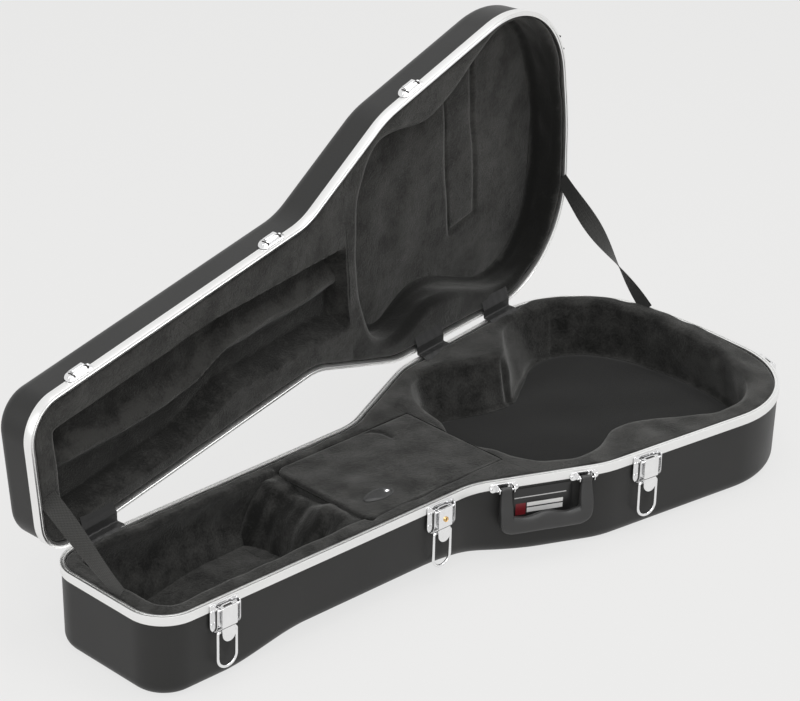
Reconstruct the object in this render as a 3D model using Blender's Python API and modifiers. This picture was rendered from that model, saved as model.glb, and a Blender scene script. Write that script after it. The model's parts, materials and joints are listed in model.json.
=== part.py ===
"""Parlor guitar case, open: two thermoformed shells with aluminium valances, hinged at the back,
with plush-covered foam inside, four drawbolt latches, a hanging handle and two stay straps.
Metres, +Z up. +X runs from the head end to the body end, the hinges are on the +Y side, and the
origin is on the underside, below the middle of the body. Stations along the case are measured
from the head end; u is the station and v the distance from the centre line."""
import math

import bmesh
import bpy
from mathutils import Matrix, Vector

for old in list(bpy.data.objects):
    bpy.data.objects.remove(old, do_unlink=True)

CASE_LENGTH = 1.100


def before_tail(distance):
    """The station at a distance before the tail's end: the body keeps its shape in a longer case."""
    return CASE_LENGTH - distance


# Outline of the rims: stations and half widths of its corners, and the radii that round them
NECK_END, NECK_HALF = before_tail(0.5795), 0.1142
BODY_START, BODY_START_HALF = before_tail(0.4110), 0.1920
BODY_FLARE = 0.0539
BODY_END, BODY_END_HALF = before_tail(0.0150), BODY_START_HALF + BODY_FLARE
HEAD_RADIUS, NECK_RADIUS, SHOULDER_RADIUS, TAIL_RADIUS, END_RADIUS = 0.0517, 0.100, 0.139, 0.150, 0.535
ORIGIN_STATION = before_tail(0.300)

# The hinge line runs along the body's long side, outside it by an offset, and passes the head's corner by a gap
HINGE_OFFSET, HEAD_GAP = 0.0042, 0.0015
SIDE_SLOPE = math.atan2(BODY_END_HALF - BODY_START_HALF, BODY_END - BODY_START)


def hinge_side(u):
    """The hinge line's distance from the centre line at a station."""
    return BODY_START_HALF + (u - BODY_START) * math.tan(SIDE_SLOPE) + HINGE_OFFSET / math.cos(SIDE_SLOPE)


HEAD_HALF = hinge_side(HEAD_RADIUS) - HEAD_GAP

# Shells
BASE_DEPTH, LID_DEPTH = 0.1145, 0.0635
SHELL_WALL = 0.003
EDGE_FILLET = 0.018
WALL_DRAFT = 0.002
NECK_RISE = 0.0175
RISE_START, RISE_TOP, RISE_BACK, RISE_FOOT = 0.105, 0.240, before_tail(0.660), before_tail(0.485)
RIM_GAP = 0.0004
CLEAR = 0.0003

# Valance: an outer leg, a web across the shell's edge and an inner leg
VALANCE_HEIGHT, LEG = 0.012, 0.0013
WEB = 0.0024
LIP_WIDTH, LIP_HEIGHT, INNER_LEG = 0.0066, 0.008, 0.0017
GROOVE_AT, GROOVE_WIDTH, GROOVE_DEPTH = 0.0026, 0.0016, 0.0014
TONGUE_WIDTH, TONGUE_HEIGHT = 0.0010, 0.0010

# Lid hinge
OPEN_ANGLE = math.radians(88.4)
# The head's hinge sits where its packing block, from the wall to the hinge line, has this thickness
PACKING = 0.00261
NECK_SLOPE = (NECK_HALF - HEAD_HALF) / NECK_END
HEAD_HINGE = HEAD_RADIUS + (HINGE_OFFSET + PACKING - HEAD_GAP) / (math.tan(SIDE_SLOPE) - NECK_SLOPE)
HINGE_STATIONS = (HEAD_HINGE, before_tail(0.341), before_tail(0.187))
HINGE_LENGTH, BARREL_RADIUS, PIN_RADIUS, PIN_CLEAR = 0.036, 0.0022, 0.0011, 0.0001
LEAF_START, LEAF_DROP = 0.002, 0.020
FLAP_LENGTH, FLAP_REACH, FLAP_THICK, FLAP_SLACK = 0.060, 0.018, 0.0008, 0.0012

# Foam inside the base
FOAM_INSET, FOAM_DROP, FOAM_EDGE, LID_FOAM_EDGE = 0.0071, 0.001, 0.012, 0.006
CAVITY = {"shoulder": before_tail(0.475), "upper": (before_tail(0.400), 0.142),
          "waist": (before_tail(0.295), 0.116), "lower": (before_tail(0.135), 0.181), "tail": before_tail(0.030)}
FLOOR_TOP = 0.040
SPLIT_STATION = before_tail(0.500)
HEAD_POCKET_START, HEAD_POCKET_HALF, HEAD_PAD = 0.032, 0.080, 0.012
REST_START, CHANNEL_HALF, REST_DROP = 0.285, 0.078, 0.018
TROUGH_RADIUS, TROUGH_DEPTH = 0.040, 0.016
BOX_START, BOX_HALF, BOX_WALL = 0.362, 0.088, 0.003
BOX_FLOOR = 0.0215
BOX_LID_DROP, BOX_LID_THICK = 0.002, 0.006

# Foam inside the lid, whose recess runs out to the walls round the lower bout
RECESS = {"shoulder": before_tail(0.475), "upper": (before_tail(0.400), 0.155),
          "waist": (before_tail(0.320), 0.139), "lower": (before_tail(0.135), 0.205), "tail": before_tail(0.019)}
LID_PANEL, PANEL_BEVEL = 0.010, 0.010
LID_PAD_DROP = 0.004
LID_NECK_RECESS, LID_TROUGH_HALF, LID_TROUGH_DEPTH = 0.010, 0.036, 0.026

# Sheet metal fittings: the gap to the wall behind them, their sheet and their rivets
SEAT, SHEET, RUN = 0.0005, 0.0012, 0.0007
RIVET_RADIUS, RIVET_HEIGHT, RIVET_EDGE, RIVET_IN = 0.0019, 0.0011, 0.0005, 0.010
OVERLAP = 0.0005

# Latches and catches, each in a frame with its wall at y = 0 and its rim at z = 0
LATCH_STATIONS = (0.100, before_tail(0.641), before_tail(0.346))
END_LATCH_OFFSET = 0.125
PLATE_TOP, PLATE_FOOT = -0.002, -0.042
CHEEK_DEEP, CHEEK_FOOT, CHEEK_HEAD = 0.0095, 0.006, 0.002
LEVER_HALF, LEVER_TOP, LEVER_TIP, LEVER_THICK = 0.0105, -0.0054, -0.053, 0.002
PIVOT_OUT, PIVOT_DOWN, TRUNNION = 0.0075, 0.0100, 0.0015
BAIL_TOP, BAIL_FOOT, BAIL_CORNER, WIRE, BAIL_RUN = -0.041, -0.0915, 0.003, 0.0020, 0.0021
CATCH_HALF, CATCH_LOW, CATCH_HIGH = 0.013, 0.002, 0.019
HOOK_HALF, HOOK_OUT, HOOK_UP, HOOK_TALL, HOOK_THICK = 0.009, 0.0085, 0.0065, 0.0065, 0.0016
LOCK_STATION = LATCH_STATIONS[1]
LOCK_RADIUS, LOCK_HEIGHT, LOCK_DOWN = 0.0036, 0.0014, 0.022

# Handle
HANDLE_STATION, HANDLE_SPAN = before_tail(0.492), 0.103
BRACKET_HALF, BRACKET_DOWN, BRACKET_TALL = 0.0200, 0.0095, 0.012
HANDLE_OUT, HANDLE_LEG, LEG_THICK, HUB_RADIUS, HANDLE_FOOT = 0.0090, 0.018, 0.006, 0.0042, -0.074
GRIP_TALL, GRIP_THICK, GRIP_WAVE, GRIP_PROUD = 0.021, 0.014, 0.0022, 0.0025
LABEL_WIDE, LABEL_TOP, LABEL_FOOT, LABEL_THICK = 0.070, -0.017, -0.063, 0.0004

# Stay straps and the compartment's pull tab
STRAP_WIDE, STRAP_THICK = 0.025, 0.0012
TAIL_STRAP_AT, TAIL_STRAP_BASE, TAIL_STRAP_LID = 0.0172, 0.100, 0.100
HEAD_STRAP_AT, HEAD_STRAP_BASE, HEAD_STRAP_LID = 0.0110, -0.012, 0.030
STRAP_LIFT = 0.0118
TAB_LONG, TAB_WIDE, TAB_THICK, TAB_STATION, TAB_SIDE = 0.044, 0.020, 0.0014, 0.391, -0.040
TAB_FLARE, SNAP_IN = 0.18, 0.009
SNAP_RADIUS, SNAP_HEIGHT = 0.0038, 0.0016

case = bpy.data.collections.new("parlor_guitar_case")
cutters = bpy.data.collections.new("cutters")
bpy.context.scene.collection.children.link(case)
bpy.context.scene.collection.children.link(cutters)


def material(name, colour, roughness, metallic=0.0):
    made = bpy.data.materials.new(name)
    made.use_nodes = True
    shader = made.node_tree.nodes["Principled BSDF"]
    shader.inputs["Base Color"].default_value = (*colour, 1)
    shader.inputs["Roughness"].default_value = roughness
    shader.inputs["Metallic"].default_value = metallic
    return made


ABS = material("black_abs", (0.035, 0.035, 0.035), 0.55)
ALUMINIUM = material("aluminium", (0.86, 0.86, 0.84), 0.32, 1.0)
CHROME = material("chrome", (0.85, 0.85, 0.86), 0.08, 1.0)
BRASS = material("brass", (0.75, 0.52, 0.22), 0.25, 1.0)
PLUSH = material("black_plush", (0.022, 0.022, 0.021), 0.95)
VINYL = material("black_vinyl", (0.015, 0.015, 0.015), 0.5)
WEBBING = material("black_webbing", (0.02, 0.02, 0.019), 0.8)
MOULDING = material("black_moulding", (0.025, 0.025, 0.025), 0.5)
LABEL = material("label", (0.03, 0.03, 0.03), 0.35)


def at(u, v, z):
    return Vector((u - ORIGIN_STATION, v, z))


def smooth(t):
    t = min(max(t, 0.0), 1.0)
    return t * t * (3 - 2 * t)


def rise(u):
    """How far the base's underside is raised at a station: only below the neck."""
    up = smooth((u - RISE_START) / (RISE_TOP - RISE_START))
    down = smooth((u - RISE_BACK) / (RISE_FOOT - RISE_BACK))
    return NECK_RISE * (up - down)


def rounded(corners, radii, steps):
    """The corners' polyline with each corner turned into an arc of its radius."""
    points = [Vector(corners[0])]
    for k, radius in enumerate(radii):
        corner = Vector(corners[k + 1])
        back = (Vector(corners[k]) - corner).normalized()
        ahead = (Vector(corners[k + 2]) - corner).normalized()
        half = back.angle(ahead) / 2
        centre = corner + (back + ahead).normalized() * radius / math.sin(half)
        first = corner + back * radius / math.tan(half) - centre
        last = corner + ahead * radius / math.tan(half) - centre
        turn = first.angle_signed(last)
        for step in range(steps[k] + 1):
            angle = turn * step / steps[k]
            c, s = math.cos(angle), math.sin(angle)
            points.append(centre + Vector((first.x * c + first.y * s, first.y * c - first.x * s)))
    return points + [Vector(corners[-1])]


def half_outline():
    """Half of the rim's outer outline, from the head's middle to the tail's, as (u, v)."""
    corners = [(0, 0), (0, HEAD_HALF), (NECK_END, NECK_HALF), (BODY_START, BODY_START_HALF),
               (BODY_END, BODY_END_HALF), (CASE_LENGTH, 0), (BODY_END, -BODY_END_HALF)]
    radii = [HEAD_RADIUS, NECK_RADIUS, SHOULDER_RADIUS, TAIL_RADIUS, END_RADIUS]
    points = [p for p in rounded(corners, radii, (6, 3, 4, 9, 4)) if p.y > -1e-6][:-1]
    tail = max(p.x for p in points)
    points = [p for p in points if p.y > 1e-4] + [Vector((tail, 0))]
    stations = [RISE_START + (RISE_TOP - RISE_START) * k / 4 for k in range(5)]
    stations += [RISE_BACK + (RISE_FOOT - RISE_BACK) * k / 6 for k in range(7)]
    stations = sorted(stations + [(RISE_TOP + RISE_BACK) / 2, (BODY_START + BODY_END) / 2])
    full = [Vector((0, 0))]
    for a, b in zip([full[0]] + points, points):
        between = [s for s in stations if a.x + 0.004 < s < b.x - 0.004]
        full += [a.lerp(b, (s - a.x) / (b.x - a.x)) for s in between] + [b]
    return full


HALF = half_outline()


def inset(points, distance):
    """The half outline moved inwards by a distance, edge by edge."""
    moved = []
    for k, p in enumerate(points):
        before = points[k - 1] if k else Vector((points[1].x, -points[1].y))
        after = points[k + 1] if k + 1 < len(points) else Vector((points[k - 1].x, -points[k - 1].y))
        a, b = (p - before).normalized(), (after - p).normalized()
        normal = (Vector((a.y, -a.x)) + Vector((b.y, -b.x))).normalized()
        moved.append(p + normal * distance / normal.dot(Vector((b.y, -b.x))))
    return moved


def ring(distance, height):
    """A whole ring at an inset; height is a number, or a function of the station."""
    half = inset(HALF, distance)
    full = half + [Vector((p.x, -p.y)) for p in half[-2:0:-1]]
    level = height if callable(height) else (lambda u: height)
    return [at(p.x, p.y, level(p.x)) for p in full]


def add_object(name, build, look):
    """An object from a bmesh: a part where it has a material, and otherwise a hidden cutter."""
    data = bpy.data.meshes.new(name)
    build.to_mesh(data)
    build.free()
    made = bpy.data.objects.new(name, data)
    if look:
        case.objects.link(made)
        data.materials.append(look)
    else:
        cutters.objects.link(made)
        made.hide_render = True
        made.display_type = "WIRE"
    return made


def mesh_object(name, points, faces, look=None):
    build = bmesh.new()
    vertices = [build.verts.new(p) for p in points]
    for face in faces:
        build.faces.new([vertices[i] for i in face])
    bmesh.ops.recalc_face_normals(build, faces=build.faces)
    return add_object(name, build, look)


def loft(name, rings, look=None, cap_first=True, cap_last=True, closed=False):
    """Rings joined by quads. A cap is cut across at each station, so it can follow a raised floor."""
    count = len(rings[0])
    points = [p for one in rings for p in one]
    faces = []
    for k in range(len(rings) if closed else len(rings) - 1):
        a, b = k * count, (k + 1) % len(rings) * count
        faces += [(a + i, a + (i + 1) % count, b + (i + 1) % count, b + i) for i in range(count)]
    half = count // 2
    for wanted, start in ((cap_first, 0), (cap_last, (len(rings) - 1) * count)):
        if not wanted:
            continue
        faces.append((start, start + 1, start + count - 1))
        faces += [(start + i, start + i + 1, start + count - i - 1, start + count - i)
                  for i in range(1, half - 1)]
        faces.append((start + half - 1, start + half, start + half + 1))
    return mesh_object(name, points, faces, look)


def tube(name, rings, look):
    """Rings joined by quads, with one flat face across each end."""
    count = len(rings[0])
    last = (len(rings) - 1) * count
    faces = [(a + i, a + (i + 1) % count, a + count + (i + 1) % count, a + count + i)
             for a in range(0, last, count) for i in range(count)]
    faces += [tuple(range(count)), tuple(range(last, last + count))]
    return mesh_object(name, [p for one in rings for p in one], faces, look)


def smooth_shade(made, angle=35):
    for face in made.data.polygons:
        face.use_smooth = True
    made.data.set_sharp_from_angle(angle=math.radians(angle))
    return made


def boolean(made, other, operation="DIFFERENCE", solver="EXACT"):
    step = made.modifiers.new(operation.lower(), "BOOLEAN")
    step.operation, step.object, step.solver = operation, other, solver


def box(name, low, high, look=None):
    """A box between two corners, made from a cube."""
    build = bmesh.new()
    bmesh.ops.create_cube(build, size=1)
    low, high = Vector(low), Vector(high)
    for vertex in build.verts:
        vertex.co = (low + high) / 2 + vertex.co * (high - low)
    return add_object(name, build, look)


def cylinder(name, radius, start, end, sides=16, look=None):
    """A cylinder from one point to another."""
    start, end = Vector(start), Vector(end)
    build = bmesh.new()
    bmesh.ops.create_cone(build, cap_ends=True, segments=sides, radius1=radius, radius2=radius,
                          depth=(end - start).length)
    turn = (end - start).to_track_quat("Z", "Y").to_matrix().to_4x4()
    build.transform(Matrix.Translation((start + end) / 2) @ turn)
    return add_object(name, build, look)


def place(made, frame):
    made.matrix_world = frame
    return made


def union(name, pieces, look, cuts=()):
    """One body from overlapping solids, with holes cut in it."""
    body = pieces[0]
    for other in pieces[1:]:
        boolean(body, other, "UNION")
    for other in cuts:
        boolean(body, other)
    graph = bpy.context.evaluated_depsgraph_get()
    data = bpy.data.meshes.new_from_object(body.evaluated_get(graph))
    for other in pieces + list(cuts):
        bpy.data.objects.remove(other, do_unlink=True)
    data.materials.clear()
    data.materials.append(look)
    made = bpy.data.objects.new(name, data)
    case.objects.link(made)
    return made


# Directions along the hinge line and out of it
ALONG = Vector((math.cos(SIDE_SLOPE), math.sin(SIDE_SLOPE), 0))
OUT = Vector((-math.sin(SIDE_SLOPE), math.cos(SIDE_SLOPE), 0))


def on_hinge(u):
    return at(u, hinge_side(u), BASE_DEPTH)


# A closed lid piece turns about the hinge line by the opening angle to stand as it does here
OPEN = (Matrix.Translation(on_hinge(0)) @ Matrix.Rotation(-OPEN_ANGLE, 4, ALONG)
        @ Matrix.Translation(-on_hinge(0)))
RIM = BASE_DEPTH - RIM_GAP / 2
LID_RIM = BASE_DEPTH + RIM_GAP / 2
SHELL_INSET = LEG + CLEAR
TOP = BASE_DEPTH + LID_DEPTH


def shell_rings(extra, floor, wall_top, depth_sign):
    """Rings down a shell's wall and round its bottom edge, at an extra inset from its outside."""
    level = floor if callable(floor) else (lambda u: floor)
    radius = EDGE_FILLET - extra
    foot = SHELL_INSET + WALL_DRAFT + extra
    rings = [ring(SHELL_INSET + extra, wall_top)]
    for step in range(6):
        angle = math.pi / 2 * step / 5
        lift = radius * (1 - math.sin(angle))
        rings.append(ring(foot + radius * (1 - math.cos(angle)),
                          lambda u, lift=lift: level(u) + depth_sign * (extra + lift)))
    return rings


# Shells: open surfaces thickened inwards
base_shell = loft("base_shell", shell_rings(0, rise, RIM - WEB - CLEAR, 1), ABS, cap_first=False)
lid_shell = loft("lid_shell", shell_rings(0, TOP, LID_RIM + WEB + CLEAR, -1), ABS, cap_first=False)
for shell in (base_shell, lid_shell):
    smooth_shade(shell)
    wall = shell.modifiers.new("wall", "SOLIDIFY")
    wall.thickness = SHELL_WALL
    wall.offset = -1
lid_shell.data.transform(OPEN)


# Valances: a channel section run round the outline, with a groove in the base's and a tongue in the lid's
def valance_section(rim, way, tongue):
    top = rim
    inner = LIP_WIDTH
    if tongue:
        middle = GROOVE_AT + (GROOVE_WIDTH - TONGUE_WIDTH) / 2
        ridge = [(middle, top), (middle, top - way * TONGUE_HEIGHT),
                 (middle + TONGUE_WIDTH, top - way * TONGUE_HEIGHT), (middle + TONGUE_WIDTH, top)]
    else:
        ridge = [(GROOVE_AT, top), (GROOVE_AT, top + way * GROOVE_DEPTH),
                 (GROOVE_AT + GROOVE_WIDTH, top + way * GROOVE_DEPTH), (GROOVE_AT + GROOVE_WIDTH, top)]
    return [(0, top + way * VALANCE_HEIGHT), (0, top)] + ridge + [
        (inner, top), (inner, top + way * LIP_HEIGHT), (inner - INNER_LEG, top + way * LIP_HEIGHT),
        (inner - INNER_LEG, top + way * WEB), (LEG, top + way * WEB), (LEG, top + way * VALANCE_HEIGHT)]


def valance(name, rim, way, tongue):
    rings = [ring(d, z) for d, z in valance_section(rim, way, tongue)]
    return loft(name, rings, ALUMINIUM, cap_first=False, cap_last=False, closed=True)


smooth_shade(valance("base_valance", RIM, -1, False), 50)
smooth_shade(valance("lid_valance", LID_RIM, 1, True), 50).data.transform(OPEN)


# Foam: everything inside the shells starts as the shell's own inner form and is then cut
def guitar_half(shape, u):
    """Half width of a guitar-shaped hollow at a station: two bouts and a waist."""
    (upper, upper_half), (waist, waist_half), (lower, lower_half) = shape["upper"], shape["waist"], shape["lower"]
    if u <= upper:
        t = (upper - u) / (upper - shape["shoulder"])
        return upper_half * max(1 - t ** 2.4, 0) ** (1 / 2.4)
    if u >= lower:
        t = (u - lower) / (shape["tail"] - lower)
        return lower_half * max(1 - t ** 2.2, 0) ** (1 / 2.2)
    if u < waist:
        return upper_half + (waist_half - upper_half) * smooth((u - upper) / (waist - upper))
    return waist_half + (lower_half - waist_half) * smooth((u - waist) / (lower - waist))


def guitar_ring(shape, shrink, z):
    """The hollow's outline as a ring, closer steps at its two ends."""
    start, upper, lower, tail = shape["shoulder"], shape["upper"][0], shape["lower"][0], shape["tail"]
    stations = [upper - (upper - start) * math.cos(math.pi / 2 * k / 7) for k in range(7)]
    stations += [upper + (lower - upper) * k / 11 for k in range(11)]
    stations += [lower + (tail - lower) * math.sin(math.pi / 2 * k / 7) for k in range(8)]
    middle = (start + tail) / 2
    squeeze = 1 - 2 * shrink / (tail - start)
    half = [(middle + (u - middle) * squeeze, max(guitar_half(shape, u) - shrink, 0)) for u in stations]
    half[0], half[-1] = (half[0][0], 0), (half[-1][0], 0)
    full = half + [(u, -v) for u, v in half[-2:0:-1]]
    return [at(u, v, z) for u, v in full]


FLOOR = SHELL_WALL + CLEAR
SLOPE_FLOOR = FLOOR + 0.0006
FOAM_TOP = BASE_DEPTH - FOAM_DROP
FOAM_EXTRA = SHELL_WALL + CLEAR


def base_foam(name):
    rings = shell_rings(FOAM_EXTRA, rise, FOAM_TOP, 1)
    rings[0] = ring(FOAM_INSET, FOAM_TOP)
    rings[1] = ring(FOAM_INSET, lambda u: rise(u) + EDGE_FILLET)
    return loft(name, rings, PLUSH)


def lid_foam(name):
    rings = shell_rings(FOAM_EXTRA, TOP, LID_RIM + LID_PAD_DROP, -1)
    rings[0] = ring(FOAM_INSET, LID_RIM + LID_PAD_DROP)
    rings[1] = ring(FOAM_INSET, TOP - EDGE_FILLET)
    return loft(name, rings, PLUSH)


# Cutters reach past the foam by BIG, and past the pocket that they open into by PAST
BIG, PAST = 1.0, 0.01


def hollow_cut(name, shape, face, way, edge):
    """A cutter for a hollow with a soft edge of that radius where it opens through the foam's face."""
    turns = [math.pi / 6 * k for k in range(4)]
    rings = [guitar_ring(shape, 0, face - way * CASE_LENGTH)]
    rings += [guitar_ring(shape, edge * (math.cos(a) - 1), face - way * edge * (1 - math.sin(a))) for a in turns]
    rings.append(guitar_ring(shape, -edge, face + way * CASE_LENGTH))
    return loft(name, rings)


cavity_cut = hollow_cut("cavity_cut", CAVITY, FOAM_TOP, 1, FOAM_EDGE)
recess_cut = hollow_cut("recess_cut", RECESS, LID_RIM + LID_PAD_DROP, -1, LID_FOAM_EDGE)
body_side = {
    "front": box("front_half", at(SPLIT_STATION + CLEAR, -BIG, -BIG), at(2 * CASE_LENGTH, -CLEAR / 2, BIG)),
    "back": box("back_half", at(SPLIT_STATION + CLEAR, CLEAR / 2, -BIG), at(2 * CASE_LENGTH, BIG, BIG))}
neck_side = {
    "front": box("neck_front_half", at(-BIG, -BIG, -BIG), at(SPLIT_STATION, -CLEAR / 2, BIG)),
    "back": box("neck_back_half", at(-BIG, CLEAR / 2, -BIG), at(SPLIT_STATION, BIG, BIG))}
pocket_cuts = [
    box("head_pocket_cut", at(HEAD_POCKET_START, -HEAD_POCKET_HALF, -BIG),
        at(REST_START, HEAD_POCKET_HALF, BIG)),
    box("channel_cut", at(REST_START - PAST, -CHANNEL_HALF, -BIG),
        at(BOX_START + PAST, CHANNEL_HALF, BIG)),
    box("box_cut", at(BOX_START, -BOX_HALF, -BIG), at(SPLIT_STATION + PAST, BOX_HALF, BIG))]
for side in ("front", "back"):
    bolster = base_foam("body_bolster_" + side)
    boolean(bolster, body_side[side], "INTERSECT")
    boolean(bolster, cavity_cut)
    bolster = base_foam("neck_bolster_" + side)
    boolean(bolster, neck_side[side], "INTERSECT")
    for cut in pocket_cuts:
        boolean(bolster, cut)

loft("body_floor_pad", [guitar_ring(CAVITY, 2 * CLEAR, z) for z in (FLOOR, FLOOR_TOP)], PLUSH)


def floor_strip(name, start, end, half, top):
    """A block whose underside follows the raised floor between two stations."""
    steps = 8
    rows = [start + (end - start) * k / steps for k in range(steps + 1)]
    under = [at(u, half, rise(u) + SLOPE_FLOOR) for u in rows]
    under += [at(u, -half, rise(u) + SLOPE_FLOOR) for u in rows[::-1]]
    over = [at(u, half, top(u)) for u in rows] + [at(u, -half, top(u)) for u in rows[::-1]]
    count = len(under)
    faces = [(i, (i + 1) % count, count + (i + 1) % count, count + i) for i in range(count)]
    for base in (0, count):
        faces += [(base + i, base + i + 1, base + count - i - 2, base + count - i - 1) for i in range(steps)]
    return mesh_object(name, under + over, faces, PLUSH)


floor_strip("headstock_floor_pad", HEAD_POCKET_START + CLEAR, REST_START - CLEAR, HEAD_POCKET_HALF - CLEAR,
            lambda u: rise(u) + FLOOR + HEAD_PAD)
REST_TOP = BASE_DEPTH - REST_DROP
neck_rest = floor_strip("neck_rest", REST_START, BOX_START - CLEAR, CHANNEL_HALF - CLEAR, lambda u: REST_TOP)
trough = cylinder("trough_cut", TROUGH_RADIUS, at(REST_START - PAST, 0, REST_TOP + TROUGH_RADIUS - TROUGH_DEPTH),
                  at(BOX_START + PAST, 0, REST_TOP + TROUGH_RADIUS - TROUGH_DEPTH), 24)
boolean(neck_rest, trough)

# Accessory compartment: a box with a hinged, plush-covered lid, its pull tab and the tab's snap
BOX_LID_TOP = BASE_DEPTH - BOX_LID_DROP
BOX_LID_UNDER = BOX_LID_TOP - BOX_LID_THICK
BOX_END = SPLIT_STATION - CLEAR
accessory_box = box("accessory_box", at(BOX_START + CLEAR, -BOX_HALF + CLEAR, BOX_FLOOR),
                    at(BOX_END, BOX_HALF - CLEAR, BOX_LID_UNDER - CLEAR), PLUSH)
hollow = box("box_hollow", at(BOX_START + CLEAR + BOX_WALL, -BOX_HALF + CLEAR + BOX_WALL, BOX_FLOOR + BOX_WALL),
             at(BOX_END - BOX_WALL, BOX_HALF - CLEAR - BOX_WALL, BIG))
boolean(accessory_box, hollow)
BOX_HINGE = BOX_END - BOX_LID_THICK / 2 - CLEAR
box("accessory_lid", at(BOX_START + 3 * CLEAR, -BOX_HALF + 3 * CLEAR, BOX_LID_UNDER),
    at(BOX_HINGE, BOX_HALF - 3 * CLEAR, BOX_LID_TOP), PLUSH)


def tab_outline(z):
    """A leaf-shaped tab: round at the snap, narrower at its free end."""
    points = []
    for k in range(18):
        angle = 2 * math.pi * k / 18
        along = math.cos(angle) * TAB_LONG / 2
        wide = TAB_WIDE / 2 * (1 + TAB_FLARE * math.cos(angle))
        points.append(at(TAB_STATION + TAB_LONG / 2 + along, TAB_SIDE + math.sin(angle) * wide, z))
    return points


TAB_LOW = BOX_LID_TOP + CLEAR
loft("pull_tab", [tab_outline(TAB_LOW), tab_outline(TAB_LOW + TAB_THICK)], VINYL)
SNAP_AT = TAB_STATION + TAB_LONG - SNAP_IN
cylinder("pull_tab_snap", SNAP_RADIUS, at(SNAP_AT, TAB_SIDE, TAB_LOW + TAB_THICK + CLEAR),
         at(SNAP_AT, TAB_SIDE, TAB_LOW + TAB_THICK + CLEAR + SNAP_HEIGHT), 16, CHROME)

# The lid's foam: bolsters round a guitar-shaped recess, its panel, and a sculpted neck pad
PANEL_TOP = TOP - SHELL_WALL - CLEAR
for side in ("front", "back"):
    bolster = lid_foam("lid_bolster_" + side)
    boolean(bolster, body_side[side], "INTERSECT")
    boolean(bolster, recess_cut)
    bolster["in_lid"] = True
panel = loft("lid_body_panel", [guitar_ring(RECESS, 2 * CLEAR, PANEL_TOP - LID_PANEL),
                               guitar_ring(RECESS, 2 * CLEAR + PANEL_BEVEL, PANEL_TOP)], PLUSH)
panel["in_lid"] = True
neck_pad = lid_foam("lid_neck_pad")
neck_whole = box("neck_whole", at(-BIG, -BIG, -BIG), at(SPLIT_STATION, BIG, BIG))
boolean(neck_pad, neck_whole, "INTERSECT", "MANIFOLD")
lid_pocket = box("lid_pocket_cut", at(HEAD_POCKET_START, -HEAD_POCKET_HALF, -BIG),
                 at(SPLIT_STATION + PAST, HEAD_POCKET_HALF, LID_RIM + LID_PAD_DROP + LID_NECK_RECESS))
lid_trough = box("lid_trough_cut", at(HEAD_POCKET_START + 2 * PAST, -LID_TROUGH_HALF, -BIG / 2),
                 at(SPLIT_STATION + 2 * PAST, LID_TROUGH_HALF, LID_RIM + LID_PAD_DROP + LID_TROUGH_DEPTH))
boolean(neck_pad, lid_pocket, solver="MANIFOLD")
boolean(neck_pad, lid_trough, solver="MANIFOLD")
neck_pad["in_lid"] = True
for made in [o for o in case.objects if o.get("in_lid")]:
    graph = bpy.context.evaluated_depsgraph_get()
    data = bpy.data.meshes.new_from_object(made.evaluated_get(graph))
    made.modifiers.clear()
    made.data = data
    data.transform(OPEN)
    del made["in_lid"]


# Fittings sit in frames on the walls: local x runs along the wall, local -y out of it, and z goes
# up from the rim plane
def wall_frame(u=None, v=None):
    """The frame at a station of the front wall or, on the tail's end, at an offset from the centre line."""
    for a, b in zip(HALF, HALF[1:]):
        if u is not None and a.x <= u < b.x and a.y > HEAD_HALF / 2:
            part = (u - a.x) / (b.x - a.x)
            break
        if v is not None and b.y <= v < a.y and a.x > BODY_START:
            part = (v - a.y) / (b.y - a.y)
            break
    point = a.lerp(b, part)
    along = Vector((b.x - a.x, a.y - b.y, 0)).normalized()
    inward = Vector((-along.y, along.x, 0))
    turn = Matrix((along, inward, Vector((0, 0, 1)))).transposed().to_4x4()
    return Matrix.Translation(at(point.x, -point.y, BASE_DEPTH)) @ turn


LATCH_FRAMES = [wall_frame(u=u) for u in LATCH_STATIONS] + [wall_frame(v=END_LATCH_OFFSET)]
PLATE_FACE = SEAT + SHEET
BLADE_BACK = PIVOT_OUT + TRUNNION - OVERLAP
BLADE_FRONT = BLADE_BACK + LEVER_THICK
BAIL_OUT = BLADE_BACK - WIRE - RUN
BAIL_HALF = LEVER_HALF + WIRE + BAIL_RUN
CHEEK_IN = BAIL_HALF + WIRE + RUN
PLATE_HALF = CHEEK_IN + SHEET + 2 * RIVET_RADIUS + RIVET_EDGE


def rivet_head(x, z):
    return cylinder("rivet", RIVET_RADIUS, (x, OVERLAP - PLATE_FACE, z), (x, -PLATE_FACE - RIVET_HEIGHT, z),
                    10, CHROME)


def round_end(radius, foot):
    """The lower half circle that ends a shape of this half width at its foot, as (x, z)."""
    return [(-radius * math.cos(a), foot + radius - radius * math.sin(a))
            for a in [math.pi * k / 10 for k in range(11)]]


def latch_plate(number, frame):
    pieces = [box("plate", (-PLATE_HALF, -PLATE_FACE, PLATE_FOOT), (PLATE_HALF, -SEAT, PLATE_TOP), CHROME)]
    for side in (-1, 1):
        near, far = sorted((side * CHEEK_IN, side * (CHEEK_IN + SHEET)))
        pieces.append(box("cheek", (near, -SEAT - CHEEK_DEEP, PLATE_FOOT + CHEEK_FOOT),
                          (far, OVERLAP - PLATE_FACE, PLATE_TOP - CHEEK_HEAD), CHROME))
        x = side * (PLATE_HALF - RIVET_EDGE - RIVET_RADIUS)
        pieces += [rivet_head(x, z) for z in (PLATE_TOP - RIVET_IN, PLATE_FOOT + RIVET_IN)]
    place(union(f"latch_plate_{number}", pieces, CHROME), frame)


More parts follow.
